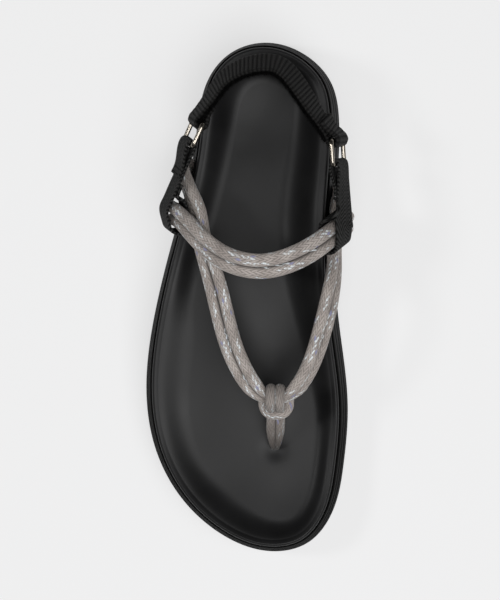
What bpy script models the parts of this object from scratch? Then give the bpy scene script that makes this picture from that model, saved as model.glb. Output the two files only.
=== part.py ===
"""Rope sandal, right shoe, standing empty on its sole.

Metres, +Z up. The toe points to -Y, the heel to +Y, and +X is the medial (big toe) side. The origin is on the
floor under the middle of the shoe. Tables hold shares of the named sizes: "along" is a share of LENGTH from
the heel, "across" a share of BALL_WIDTH from the middle, and "up" a share of INSTEP_HEIGHT from the floor.
"""
import math

import bmesh
import bpy
import numpy as np

# Main sizes
LENGTH = 0.260
BALL_WIDTH = 0.1037
INSTEP_HEIGHT = 0.077
CLEARANCE = 0.0003  # between pieces that touch

# Sole
AROUND = 64  # points round each ring of the sole
TOE_SPRING = 0.008
TOE_SPRING_START = 0.72  # share of the length where the underside leaves the floor
HEEL_LIFT = 0.0015
HEEL_LIFT_END = 0.05
OUTSOLE_EDGE = 0.008  # height of its side
UNDERSIDE_INSET = 0.0018  # of the outsole's flat underside, in from its edge
TOP_INSET = 0.0007  # of its flat top
MIDSOLE_INSET = 0.0004  # of the midsole's side, in from the outsole's edge
MIDSOLE_BASE = 0.0012  # and of its flat underside
BED_HEIGHT = 0.026  # top of the footbed above the floor, at the heel
BED_THICKNESS = 0.004
BED_HOLLOW = 0.12  # how far the bed's slope starts below the lip's top, share of LIP_HEIGHT
RIM_HEIGHT = 0.010  # rolled lip above the bed, at the heel
SLOPE_WIDTH = 0.014  # from the lip down to the bed, at the heel
LIP_INSET = 0.0043  # lip's outer side, in from the outsole's edge
LIP_WIDTH = 0.0030
LIP_HEIGHT = 0.0036
GROOVE_DEPTH = 0.0010  # between the midsole's ridge and the lip
RIDGE_INSET = 0.0031
RIBS = 3
RIB_DEPTH = 0.0009
TREAD_DEPTH = 0.0025
TREAD_RIM = 0.010
TREAD_GAP = 0.003
TREAD_PITCH = 0.0115
TREAD_CHEVRON = 0.006

# Ropes
ROPE = 0.0061  # diameter of the toe loop's and the instep band's ropes
ROPE_NIP = 0.94  # distance between the two ropes of a pair, in diameters
ROPE_STEP = 0.0068  # between the points of a rope pair
BIGHT_STEP = 0.0024  # between the points of the post's crossing loop
ROPE_DEPTH = 0.009  # how far the ends go into the midsole
ENTRY_HEIGHT = 0.0165  # of the rope ends' holes above the floor
POST_ROPE = 0.0048  # diameter of the toe post's rope
POST_FLAT = 0.62  # its thickness where it is pressed flat, in diameters
POST_DEPTH = 0.0085  # below the footbed's top
KNOT_SQUEEZE = 0.64  # size of the toe loop's ropes inside the knot
KNOT_ROOM = 0.0013  # between the post and the ropes, which bend inside it
KNOT_REACH = 0.009  # half width of the stretch that the knot squeezes

# Heel strap, webbing tabs and rings
STRAP_WIDTH = 0.016
HEEL_STRAP_THICKNESS = 0.0024
TAB_THICKNESS = 0.0014
RING_WIRE = 0.0023
RING_GAP = 0.0100  # inside the ring, along the strap
RING_PLAY = 0.0008  # between the strap's edge and the ring
RING_CORNER = 0.0024
FOLD_LENGTH = 0.005  # of a folded end, past where its two layers meet
FOLD_START = 0.006  # from a ring's bar to where the layers meet
TAB_ROOM = dict(medial=0.0011, lateral=0.0012)  # between the tabs' loops and the ropes that bend in them
LOOP_CLOSE = 0.0026  # behind the instep band's ropes, where a tab's two layers meet
LOOP_LAP = 0.003  # length that they lie together
HEEL_STEP = 0.0075  # between the points of the heel strap
LATERAL_FOLD = 0.005  # the lateral tab's end, folded back outside

# Outline of the sole and form of its lip, from the heel along the lateral side to the toe and back.
# rim and slope are shares of RIM_HEIGHT and SLOPE_WIDTH.
OUTLINE = [
    dict(along=0.000, across=0.083, rim=1.00, slope=1.00),
    dict(along=0.024, across=-0.107, rim=1.00, slope=1.00),
    dict(along=0.080, across=-0.213, rim=0.98, slope=0.98),
    dict(along=0.143, across=-0.251, rim=0.92, slope=0.95),
    dict(along=0.235, across=-0.284, rim=0.80, slope=0.95),
    dict(along=0.376, across=-0.372, rim=0.66, slope=0.95),
    dict(along=0.545, across=-0.475, rim=0.50, slope=0.78),
    dict(along=0.679, across=-0.512, rim=0.48, slope=0.64),
    dict(along=0.799, across=-0.468, rim=0.52, slope=0.60),
    dict(along=0.898, across=-0.335, rim=0.56, slope=0.58),
    dict(along=0.968, across=-0.134, rim=0.58, slope=0.58),
    dict(along=1.000, across=0.110, rim=0.58, slope=0.58),
    dict(along=0.982, across=0.297, rim=0.57, slope=0.58),
    dict(along=0.926, across=0.410, rim=0.55, slope=0.58),
    dict(along=0.827, across=0.469, rim=0.52, slope=0.60),
    dict(along=0.722, across=0.488, rim=0.55, slope=0.66),
    dict(along=0.545, across=0.442, rim=0.95, slope=1.10),
    dict(along=0.334, across=0.424, rim=1.36, slope=1.55),
    dict(along=0.158, across=0.444, rim=1.16, slope=1.15),
    dict(along=0.080, across=0.406, rim=1.04, slope=1.02),
    dict(along=0.024, across=0.277, rim=1.00, slope=1.00),
]

# Height of the footbed down the middle, as a share of BED_HEIGHT, and the middle line's place
BED = [
    dict(along=0.00, height=1.02, middle=0.083),
    dict(along=0.14, height=0.98, middle=0.083),
    dict(along=0.30, height=1.02, middle=0.070),
    dict(along=0.46, height=1.03, middle=0.030),
    dict(along=0.60, height=0.86, middle=0.000),
    dict(along=0.72, height=0.72, middle=0.000),
    dict(along=0.86, height=0.74, middle=0.045),
    dict(along=1.00, height=0.96, middle=0.100),
]

# Middle line between the two ropes of each pair, from the medial side to the lateral side
TOE_LOOP = [
    dict(along=0.318, across=0.440, up=0.375),
    dict(along=0.345, across=0.430, up=0.415),
    dict(along=0.374, across=0.427, up=0.435),
    dict(along=0.402, across=0.425, up=0.482),
    dict(along=0.440, across=0.425, up=0.578),
    dict(along=0.506, across=0.402, up=0.713),
    dict(along=0.579, across=0.356, up=0.700),
    dict(along=0.653, across=0.278, up=0.643),
    dict(along=0.682, across=0.216, up=0.621),
    dict(along=0.6896, across=0.181, up=0.612),
    dict(along=0.690, across=0.145, up=0.6115),
    dict(along=0.6896, across=0.109, up=0.612),
    dict(along=0.682, across=0.073, up=0.621),
    dict(along=0.653, across=0.012, up=0.643),
    dict(along=0.579, across=-0.071, up=0.705),
    dict(along=0.497, across=-0.121, up=0.775),
    dict(along=0.437, across=-0.162, up=0.790),
    dict(along=0.375, across=-0.208, up=0.727),
    dict(along=0.334, across=-0.225, up=0.655),
    dict(along=0.305, across=-0.256, up=0.590),
    dict(along=0.283, across=-0.280, up=0.522),
    dict(along=0.264, across=-0.301, up=0.440),
]
INSTEP_BAND = [
    dict(along=0.354, across=0.486, up=0.400),
    dict(along=0.356, across=0.482, up=0.500),
    dict(along=0.362, across=0.460, up=0.605),
    dict(along=0.376, across=0.416, up=0.722),
    dict(along=0.400, across=0.338, up=0.862),
    dict(along=0.423, across=0.230, up=0.958),
    dict(along=0.436, across=0.091, up=1.000),
    dict(along=0.424, across=-0.067, up=0.955),
    dict(along=0.391, across=-0.193, up=0.838),
    dict(along=0.348, across=-0.303, up=0.670),
    dict(along=0.336, across=-0.348, up=0.530),
    dict(along=0.335, across=-0.360, up=0.410),
]
KNOT = max(TOE_LOOP, key=lambda row: row["along"])  # the toe loop's bend, where the post hangs on it
LOOP_ENDS = dict(medial=0.304, lateral=0.250)  # where the ends enter the midsole, along
BAND_ENDS = dict(medial=0.354, lateral=0.338)
# how far outside the wall the ropes' middle line is, above their holes
LOOP_STANDOFF = dict(medial=0.0036, lateral=0.0023)
BAND_STANDOFF = dict(medial=0.0048, lateral=0.0014)
ROPE_BEND = 0.0085  # height in which the ropes turn upwards, above their holes
ROPE_HUG = 0.0012  # how much closer to the wall they are lower down in that bend
# middle of the tabs' loops on the band, share of INSTEP_HEIGHT
TAB_PLACE = dict(medial=0.690, lateral=0.560)

# Heel strap from ring to ring; lean is how far its top edge tips inwards, in degrees
HEEL_STRAP = [
    dict(along=0.197, across=0.413, up=0.660, lean=16),
    dict(along=0.169, across=0.376, up=0.672, lean=21),
    dict(along=0.1335, across=0.318, up=0.700, lean=27),
    dict(along=0.0846, across=0.236, up=0.735, lean=32),
    dict(along=0.0558, across=0.150, up=0.750, lean=34),
    dict(along=0.0530, across=0.090, up=0.753, lean=35),
    dict(along=0.0645, across=-0.029, up=0.730, lean=32),
    dict(along=0.0855, across=-0.109, up=0.700, lean=28),
    dict(along=0.1148, across=-0.163, up=0.675, lean=24),
    dict(along=0.1565, across=-0.244, up=0.660, lean=20),
]
RING_SLOPE = 4  # degrees that the rings drop towards the toe
RING_TURN = dict(medial=4, lateral=25)  # degrees that the rings toe outwards

# The toe post, from the knot down into the sole
POST_FOOT = dict(along=0.7956, across=0.132)
POST_SQUEEZE = 0.62  # size of the two ropes where they enter the footbed
POST_TAPER = 0.45  # share of the post's height where they narrow
POST_STEP = 0.0030  # between the points of the post
# The loop that crosses in front of the post, from behind its medial rope: side and reach are shares of
# POST_ROPE, turn is degrees round the toe loop's lower rope
BIGHT = [
    dict(side=0.47, turn=-90, reach=1.04),
    dict(side=0.95, turn=-115, reach=1.10),
    dict(side=1.30, turn=-150, reach=1.30),
    dict(side=1.27, turn=-187, reach=1.60),
    dict(side=0.80, turn=-207, reach=1.80),
    dict(side=0.00, turn=-213, reach=1.86),
]
# Slope of the top of the foot towards the toe, which turns the rope pairs: at the instep and at the knot
FOOT_SLOPE = 0.55
TOE_SLOPE = 1.9


def column(rows, name):
    return np.array([row[name] for row in rows], float)


def cubic(knots, values, places):
    """Natural cubic curve through the values at the knots, read at the places."""
    knots, values = np.asarray(knots, float), np.asarray(values, float)
    gaps = np.diff(knots)
    slopes = np.diff(values, axis=0) / gaps[:, None]
    matrix = np.eye(len(knots))
    right = np.zeros_like(values)
    for row in range(1, len(knots) - 1):
        matrix[row, row - 1:row + 2] = gaps[row - 1], 2 * (gaps[row - 1] + gaps[row]), gaps[row]
        right[row] = 6 * (slopes[row] - slopes[row - 1])
    bends = np.linalg.solve(matrix, right)
    cell = np.clip(np.searchsorted(knots, places) - 1, 0, len(knots) - 2)
    gap = gaps[cell][:, None]
    b = (places - knots[cell])[:, None] / gap
    a = 1 - b
    bulge = ((a ** 3 - a) * bends[cell] + (b ** 3 - b) * bends[cell + 1]) * gap ** 2 / 6
    return a * values[cell] + b * values[cell + 1] + bulge


def smooth(points, step):
    """The smooth curve through the points, with a point about every step."""
    points = np.asarray(points, float)
    walked = np.concatenate([[0], np.cumsum(np.linalg.norm(np.diff(points, axis=0), axis=1))])
    count = max(2, round(walked[-1] / step)) + 1
    return cubic(walked, points, np.linspace(0, walked[-1], count))


def unit(vectors):
    vectors = np.asarray(vectors, float)
    return vectors / np.linalg.norm(vectors, axis=-1, keepdims=True)


def place(row):
    """World point of a table's row."""
    return np.array([row["across"] * BALL_WIDTH, (0.5 - row["along"]) * LENGTH, row["up"] * INSTEP_HEIGHT])


def sole_outline():
    """Outer edge of the sole: AROUND points, the heel first and the toe half way, each side evenly spaced.

    Columns: x, y, rim height, slope width.
    """
    rows = np.stack([column(OUTLINE, "across") * BALL_WIDTH, (0.5 - column(OUTLINE, "along")) * LENGTH,
                     column(OUTLINE, "rim") * RIM_HEIGHT, column(OUTLINE, "slope") * SLOPE_WIDTH], axis=1)
    count, wrap = len(rows), 4
    looped = np.concatenate([rows[-wrap:], rows, rows[:wrap + 1]])
    walked = np.concatenate([[0], np.cumsum(np.linalg.norm(np.diff(looped[:, :2], axis=0), axis=1))])
    toe = int(np.argmax(column(OUTLINE, "along")))
    sides = []
    for first, last in ((wrap, wrap + toe), (wrap + toe, wrap + count)):
        fine = cubic(walked, looped, np.linspace(walked[first], walked[last], 400))
        length = np.concatenate([[0], np.cumsum(np.linalg.norm(np.diff(fine[:, :2], axis=0), axis=1))])
        even = np.linspace(0, length[-1], AROUND // 2 + 1)[:-1]
        sides.append(np.stack([np.interp(even, length, fine[:, c]) for c in range(4)], axis=1))
    return np.concatenate(sides)


EDGE = sole_outline()
EDGE_TANGENT = unit(np.roll(EDGE[:, :2], -1, axis=0) - np.roll(EDGE[:, :2], 1, axis=0))
EDGE_INWARD = np.stack([-EDGE_TANGENT[:, 1], EDGE_TANGENT[:, 0]], axis=1)


def along_of(y):
    return 0.5 - np.asarray(y, float) / LENGTH


def under(y):
    """Height of the sole's underside: flat, with a toe spring and a small lift behind the heel."""
    along = along_of(y)
    toe = np.clip((along - TOE_SPRING_START) / (1 - TOE_SPRING_START), 0, None) ** 2
    heel = np.clip((HEEL_LIFT_END - along) / HEEL_LIFT_END, 0, None) ** 2
    return TOE_SPRING * toe + HEEL_LIFT * heel


def bed(y):
    """Height of the footbed down its middle."""
    places = np.clip(along_of(y), 0, 1)
    return cubic(column(BED, "along"), column(BED, "height")[:, None], places.ravel())[:, 0].reshape(
        places.shape) * BED_HEIGHT


LIP_TOP = bed(EDGE[:, 1]) + EDGE[:, 2]


def inset(distance):
    """The outline moved inwards by a distance, one for all points or one for each."""
    distance = np.broadcast_to(distance, AROUND)
    return EDGE[:, :2] + EDGE_INWARD * distance[:, None]


def ring(distance, height):
    return np.column_stack([inset(distance), np.broadcast_to(height, AROUND)])


def spine():
    """Point of the middle line for each point of the outline."""
    along = np.clip(along_of(EDGE[:, 1]), 0.13, 0.87)
    across = cubic(column(BED, "along"), column(BED, "middle")[:, None], along)[:, 0]
    return np.column_stack([across * BALL_WIDTH, (0.5 - along) * LENGTH])


def bed_rings(drop):
    """Rings of the footbed's top from the foot side of the lip to the middle, lowered by drop."""
    rings = []
    start = LIP_INSET + LIP_WIDTH
    for share in (0, 0.25, 0.5, 0.75, 1.0):
        flat = inset(start + share * EDGE[:, 3])
        fall = (1 - share) ** 2 * (1 + 2 * share)
        height = bed(flat[:, 1]) + (EDGE[:, 2] - LIP_HEIGHT * BED_HOLLOW) * fall
        rings.append(np.column_stack([flat, height - drop]))
    slope_foot, middle = inset(start + EDGE[:, 3]), spine()
    for share in (0.45, 0.85):
        flat = slope_foot * (1 - share) + middle * share
        rings.append(np.column_stack([flat, bed(flat[:, 1]) - drop]))
    return rings


def flat_rings(distance, lift):
    """Rings of a level face from the edge to the middle, lifted above the sole's underside."""
    edge, middle = inset(distance), spine()
    rings = []
    for share in (0, 0.45, 0.85):
        flat = edge * (1 - share) + middle * share
        rings.append(np.column_stack([flat, under(flat[:, 1]) + lift]))
    return rings


def material(name, color, roughness, metallic=0.0):
    made = bpy.data.materials.new(name)
    made.use_nodes = True
    shader = made.node_tree.nodes["Principled BSDF"]
    shader.inputs["Base Color"].default_value = (*color, 1)
    shader.inputs["Roughness"].default_value = roughness
    shader.inputs["Metallic"].default_value = metallic
    made.diffuse_color = (*color, 1)
    return made


def solid(name, points, faces, finish=None, smooth_angle=35):
    """Object from points and faces, shaded smooth up to the angle."""
    mesh = bpy.data.meshes.new(name)
    mesh.from_pydata([tuple(map(float, p)) for p in points], [], faces)
    work = bmesh.new()
    work.from_mesh(mesh)
    bmesh.ops.remove_doubles(work, verts=work.verts, dist=1e-6)
    bmesh.ops.recalc_face_normals(work, faces=work.faces)
    work.to_mesh(mesh)
    work.free()
    mesh.validate()
    mesh.shade_smooth()
    mesh.set_sharp_from_angle(angle=math.radians(smooth_angle))
    if finish:
        mesh.materials.append(finish)
    made = bpy.data.objects.new(name, mesh)
    bpy.context.scene.collection.objects.link(made)
    return made


def ring_faces(rows, size, first=0):
    """Quads between neighbouring rings of equal size."""
    faces = []
    for row in range(rows - 1):
        for i in range(size):
            j = (i + 1) % size
            a, b = first + row * size, first + (row + 1) * size
            faces.append((a + i, a + j, b + j, b + i))
    return faces


def sole_layer(name, rings, finish):
    """Closed layer of the sole: its rings run from one face's middle over the edge to the other's middle."""
    points = np.concatenate(rings)
    faces = ring_faces(len(rings), AROUND)
    for start in (0, (len(rings) - 1) * AROUND):
        for i in range(AROUND // 2):
            quad = (start + i, start + i + 1, start + AROUND - i - 1, start + (AROUND - i) % AROUND)
            faces.append(tuple(dict.fromkeys(quad)))
    return solid(name, points, faces, finish)


def cutter(target, tool, operation="DIFFERENCE"):
    """Adds a Boolean with the tool, which is hidden as a guide."""
    tool.hide_render = True
    tool.display_type = "WIRE"
    boolean = target.modifiers.new(tool.name, "BOOLEAN")
    boolean.operation = operation
    boolean.object = tool


def make_outsole(finish):
    bottom = flat_rings(UNDERSIDE_INSET, 0)[::-1]
    base = under(EDGE[:, 1])
    side = [ring(0.0005, base + 0.0012), ring(0.0, base + 0.0030), ring(0.0, base + OUTSOLE_EDGE - 0.0010)]
    top = flat_rings(TOP_INSET, OUTSOLE_EDGE)
    return sole_layer("outsole", bottom + side + top, finish)


def tread_cutter():
    """Shallow chevron grooves across the heel and the forefoot, inside a plain rim."""
    limit = inset(TREAD_RIM)
    lateral, medial = limit[:AROUND // 2 + 1], limit[AROUND // 2:]
    points, faces = [], []
    for start, end in ((0.07, 0.30), (0.50, 0.93)):
        count = int((end - start) * LENGTH / TREAD_PITCH)
        for along in start + (np.arange(count) + 0.5) / count * (end - start):
            y = (0.5 - along) * LENGTH
            low = np.interp(-y, -lateral[:, 1], lateral[:, 0])
            high = np.interp(y, medial[:, 1], medial[:, 0])
            middle = (low + high) / 2
            line = [(low, y), (middle, y - TREAD_CHEVRON), (high, y)]
            plan = [(x, v - TREAD_GAP / 2) for x, v in line] + [(x, v + TREAD_GAP / 2) for x, v in line[::-1]]
            first = len(points)
            points += [(x, v, -0.002) for x, v in plan]
            points += [(x, v, float(under(v)) + TREAD_DEPTH) for x, v in plan]
            faces.append(tuple(range(first + 5, first - 1, -1)))
            faces.append(tuple(range(first + 6, first + 12)))
            faces += ring_faces(2, 6, first)
    return solid("tread_grooves", points, faces)


def make_midsole(finish):
    bottom = flat_rings(MIDSOLE_BASE, OUTSOLE_EDGE + CLEARANCE)[::-1]
    low = under(EDGE[:, 1]) + OUTSOLE_EDGE + CLEARANCE
    high = LIP_TOP - LIP_HEIGHT
    side = []
    for rib in range(RIBS):
        for share, depth in ((0.08, 0.0), (0.78, 0.0), (0.93, 1.0)):
            level = (rib + share) / RIBS
            inwards = level * RIDGE_INSET + MIDSOLE_INSET + depth * RIB_DEPTH
            side.append(ring(inwards, low + level * (high - low)))
    ridge = [ring(RIDGE_INSET, high), ring(LIP_INSET - 0.0005, high - CLEARANCE),
             ring(LIP_INSET, high - GROOVE_DEPTH - CLEARANCE)]
    return sole_layer("midsole", bottom + side + ridge + bed_rings(BED_THICKNESS + CLEARANCE), finish)


def make_footbed(finish):
    outer = [ring(LIP_INSET + 0.0004, LIP_TOP - LIP_HEIGHT - GROOVE_DEPTH),
             ring(LIP_INSET, LIP_TOP - LIP_HEIGHT * 0.55),
             ring(LIP_INSET + 0.0006, LIP_TOP - LIP_HEIGHT * 0.10),
             ring(LIP_INSET + LIP_WIDTH * 0.55, LIP_TOP)]
    bottom = bed_rings(BED_THICKNESS)[::-1]
    return sole_layer("footbed", bottom + outer + bed_rings(0), finish)


def wall_entry(side, ends, standoffs):
    """A rope's way into the midsole's side, from inside the hole to above it."""
    half, along, standoff = AROUND // 2, ends[side], standoffs[side]
    index = range(half + 1) if side == "lateral" else [*range(half, AROUND), 0]
    index = np.array(list(index))
    nearest = index[np.argmin(np.abs(along_of(EDGE[index, 1]) - along))]
    outward = np.append(-EDGE_INWARD[nearest], 0)
    y = (0.5 - along) * LENGTH
    x = EDGE[nearest, 0] + (y - EDGE[nearest, 1]) * EDGE_TANGENT[nearest, 0] / EDGE_TANGENT[nearest, 1]
    wall = np.array([x, y, ENTRY_HEIGHT])
    rise = np.array([0, 0, ROPE_BEND])
    return [wall - outward * ROPE_DEPTH - rise * 0.35, wall - outward * ROPE_DEPTH * 0.45 - rise * 0.12,
            wall + outward * (standoff - ROPE_HUG) + rise * 0.35, wall + outward * standoff + rise]


def route(rows, ends, standoff):
    """Points of a rope pair's middle line, from its medial hole to its lateral hole."""
    first, last = (wall_entry(side, ends, standoff) for side in ("medial", "lateral"))
    return np.array(first + [place(row) for row in rows] + last[::-1])


def foot_normal(points):
    """Way out of the foot: from a core line above the bed, tipped forwards as the instep slopes."""
    along = np.clip(along_of(points[:, 1]), 0, 1)
    core_x = cubic(column(BED, "along"), column(BED, "middle")[:, None], along)[:, 0] * BALL_WIDTH
    rise = points[:, 2] - BED_HEIGHT
    slope = np.interp(along, (0.50, 0.69), (FOOT_SLOPE, TOE_SLOPE))
    return unit(np.stack([points[:, 0] - core_x, -slope * rise, rise], axis=1))


def tangents(points):
    return unit(np.gradient(points, axis=0))


def pair_profile(diameter, grow=0.0, flat=1.0):
    """Two round lobes side by side, fused where they nip: columns across the pair and out of the foot."""
    radius = diameter / 2
    offset = radius * ROPE_NIP
    angles = np.radians(np.linspace(-140, 140, 6))
    lobe = np.stack([offset + (radius + grow) * np.cos(angles),
                     (radius * flat + grow) * np.sin(angles)], axis=1)
    return np.concatenate([lobe, -lobe])


def sweep(name, points, across, out, profile, finish=None, scale=None):
    """Profile carried along the points; across and out are the profile's two directions at each point."""
    scale = np.ones(len(points)) if scale is None else scale
    rings = (points[:, None] + profile[None, :, :1] * (across * scale[:, None])[:, None]
             + profile[None, :, 1:] * (out * scale[:, None])[:, None])
    size = len(profile)
    faces = ring_faces(len(points), size)
    faces.append(tuple(range(size)))
    faces.append(tuple(range((len(points) - 1) * size, len(points) * size)))
    return solid(name, rings.reshape(-1, 3), faces, finish)


def rope_pair(name, rows, ends, standoff, finish=None, grow=0.0, squeeze=1.0):
    fine = smooth(route(rows, ends, standoff), ROPE_STEP / 2)
    off = np.abs(fine - place(KNOT))[:, 0] / KNOT_REACH
    kept = (np.arange(len(fine)) % 2 == 0) | (off < 1)
    path, off = fine[kept], off[kept]
    forward = tangents(path)
    # low down the two ropes lie side by side along the sole's edge, and higher up along the foot
    high = np.clip((path[:, 2:] - ENTRY_HEIGHT) / (0.25 * INSTEP_HEIGHT), 0, 1) ** 2
    across = np.cross(forward, foot_normal(path)) * high + np.array([[0, 1.0, 0]]) * (1 - high)
    across = unit(across - forward * np.sum(across * forward, axis=1, keepdims=True))
    out = np.cross(across, forward)
    scale = 1 - (1 - squeeze) * np.exp(-off ** 4)
    return sweep(name, path, across, out, pair_profile(ROPE, grow), finish, scale)


def make_rope_upper(finish):
    """Toe loop and instep band, joined where they cross."""
    upper = rope_pair("rope_upper", TOE_LOOP, LOOP_ENDS, LOOP_STANDOFF, finish, squeeze=KNOT_SQUEEZE)
    band = rope_pair("instep_band", INSTEP_BAND, BAND_ENDS, BAND_STANDOFF, finish)
    cutter(upper, band, "UNION")
    return upper


def post_frame():
    """Middle of the toe loop's bend and the directions across its two ropes and out of the foot."""
    knot = place(KNOT)
    out = unit(foot_normal(knot[None])[0] * np.array([0, 1, 1]))
    across = np.array([0, out[2], -out[1]])
    return knot, across, out


def post_round():
    """Half the distance between the toe loop's squeezed ropes, and how far from them the post's middle is."""
    return ROPE * KNOT_SQUEEZE / 2 * ROPE_NIP, (ROPE * KNOT_SQUEEZE + POST_ROPE * POST_FLAT) / 2 + KNOT_ROOM


def post_route():
    """Middle line of the doubled rope: up from the sole, over the toe loop, behind it and back underneath."""
    knot, across, out = post_frame()
    half, radius = post_round()
    y = (0.5 - POST_FOOT["along"]) * LENGTH
    foot = np.array([POST_FOOT["across"] * BALL_WIDTH, y, float(bed(y))])
    turn = np.concatenate([arc(knot - across * half, across, out, radius, 185, 90, 5),
                           arc(knot + across * half, across, out, radius, 90, -90, 8),
                           [knot - across * half - out * radius]])
    top = turn[0]
    lean = unit(top - foot)
    down = np.array([0, 0, -1.0])
    below = [foot + down * POST_DEPTH, foot + down * POST_DEPTH * 0.4 + lean * 0.0005, foot + lean * 0.004,
             foot * 0.55 + top * 0.45, foot * 0.2 + top * 0.8 + down * 0.0006]
    return np.concatenate([below, turn]), foot, top


def post_pair(name, finish=None, grow=0.0):
    points, foot, top = post_route()
    path = smooth(points, POST_STEP)
    forward = tangents(path)
    across = np.tile([1.0, 0, 0], (len(path), 1))
    out = unit(np.cross(across, forward))
    across = unit(np.cross(forward, out))
    rise = np.clip((path[:, 2] - foot[2]) / (POST_TAPER * (top[2] - foot[2])), 0, 1)
    scale = POST_SQUEEZE + (1 - POST_SQUEEZE) * rise
    return sweep(name, path, across, out, pair_profile(POST_ROPE, grow, POST_FLAT), finish, scale)


def round_profile(diameter, sides=8):
    angles = np.arange(sides) / sides * 2 * math.pi
    return np.stack([np.cos(angles), np.sin(angles)], axis=1) * diameter / 2


def make_toe_post(finish):
    """The doubled rope with the loop that crosses in front of it."""
    post = post_pair("toe_post", finish)
    knot, across, out = post_frame()
    half, radius = post_round()
    rows = [(row, 1) for row in BIGHT] + [(row, -1) for row in BIGHT[-2::-1]]
    points = smooth([knot - across * half + np.array([sign * row["side"] * POST_ROPE, 0, 0])
                     + row["reach"] * POST_ROPE * (across * math.cos(math.radians(row["turn"]))
                                                   + out * math.sin(math.radians(row["turn"])))
                     for row, sign in rows], BIGHT_STEP)
    forward = tangents(points)
    side = unit(np.cross(forward, out + across * 0.5))
    bight = sweep("post_bight", points, side, unit(np.cross(side, forward)), round_profile(POST_ROPE), finish)
    cutter(post, bight, "UNION")
    return post


def heel_wrap():
    """From a ring bar's middle to the middle of the heel strap folded round it."""
    return (RING_WIRE + HEEL_STRAP_THICKNESS) / 2 + CLEARANCE


def ring_frame(side):
    """Middle of a ring, its way forward, its bar's way up and its way out."""
    row = HEEL_STRAP[0] if side == "medial" else HEEL_STRAP[-1]
    sign = 1 if side == "medial" else -1
    turn, drop, lean = (math.radians(v) for v in (RING_TURN[side], RING_SLOPE, row["lean"]))
    forward = unit([sign * math.sin(turn), -math.cos(turn), -math.tan(drop)])
    level = unit(np.cross(forward, [0, 0, 1])) * -sign  # level way out of the shoe
    if level[0] * sign < 0:
        level = -level
    bar = unit(np.array([0, 0, math.cos(lean)]) - level * math.sin(lean))
    bar = unit(bar - forward * np.dot(bar, forward))
    out = unit(np.cross(forward, bar))
    if out[0] * sign < 0:
        out = -out
    # the heel strap passes inside the medial ring's bar and outside the lateral one's
    aside = out * sign * heel_wrap()
    centre = place(row) + forward * (RING_GAP + RING_WIRE) / 2 + aside
    return centre, forward, bar, out


def make_ring(side, finish):
    centre, forward, bar, out = ring_frame(side)
    half_long = (RING_GAP + RING_WIRE) / 2
    half_high = STRAP_WIDTH / 2 + RING_PLAY + RING_WIRE / 2
    points = []
    for quarter in range(4):
        sign_f = (1, -1, -1, 1)[quarter]
        sign_b = (1, 1, -1, -1)[quarter]
        middle = (centre + forward * sign_f * (half_long - RING_CORNER)
                  + bar * sign_b * (half_high - RING_CORNER))
        for angle in np.radians(np.linspace(0, 90, 4) + quarter * 90):
            points.append(middle + RING_CORNER * (forward * math.cos(angle) + bar * math.sin(angle)))
    points = np.array(points)
    ahead = unit(np.roll(points, -1, axis=0) - np.roll(points, 1, axis=0))
    side_way = unit(np.cross(ahead, out))
    profile = round_profile(RING_WIRE)
    rings = (points[:, None] + profile[None, :, :1] * side_way[:, None]
             + profile[None, :, 1:] * out[None, None])
    faces = ring_faces(len(points), len(profile))
    last = (len(points) - 1) * len(profile)
    for i in range(len(profile)):
        j = (i + 1) % len(profile)
        faces.append((last + i, last + j, j, i))
    return solid(f"{side}_ring", rings.reshape(-1, 3), faces, finish)


def arc(centre, first, second, radius, start, end, steps):
    """Points round a centre: first is the direction at 0 degrees, second at 90."""
    angles = np.radians(np.linspace(start, end, steps))[:, None]
    return centre + radius * (np.cos(angles) * first + np.sin(angles) * second)


def hug(centre, first, second, radius, before, after, steps):
    """Arc that the lines from the point before and to the point after it touch."""
    ends = []
    for point, way in ((before, 1), (after, -1)):
        x, y = np.dot(point - centre, first), np.dot(point - centre, second)
        ends.append(math.degrees(math.atan2(y, x) + way * math.acos(radius / math.hypot(x, y))))
    return arc(centre, first, second, radius, ends[0], ends[1] % 360, steps)


def strip(name, points, widthways, thickness, finish):
    """Flat strap of STRAP_WIDTH along the points; widthways is its direction from edge to edge."""
    points, widthways = np.asarray(points), np.asarray(widthways)
    forward = tangents(points)
    widthways = unit(widthways - forward * np.sum(widthways * forward, axis=1, keepdims=True))
    half_w, half_t = STRAP_WIDTH / 2, thickness / 2
    profile = np.array([(half_w, -half_t), (half_w, half_t), (-half_w, half_t), (-half_w, -half_t)])
    return sweep(name, points, widthways, np.cross(forward, widthways), profile, finish)


def band_frame(side):
    """The instep band where a tab loops round it: middle, way down along the ropes, way back and way out."""
    path = smooth(route(INSTEP_BAND, BAND_ENDS, BAND_STANDOFF), 0.001)
    half = len(path) // 2
    path = path[:half] if side == "medial" else path[half:]
    nearest = path[np.argmin(np.abs(path[:, 2] - TAB_PLACE[side] * INSTEP_HEIGHT))]
    under_tab = path[np.linalg.norm(path - nearest, axis=1) < STRAP_WIDTH / 2]
    middle = (under_tab.mean(axis=0) + nearest) / 2
    down = unit(under_tab[-1] - under_tab[0])
    down = down if down[2] < 0 else -down
    normal = foot_normal(middle[None])[0]
    back = unit(np.cross(down, normal))
    if back[1] < 0:
        back = -back
    out = unit(np.cross(down, back))
    if np.dot(out, normal) < 0:
        out = -out
    return middle, down, back, out


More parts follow.
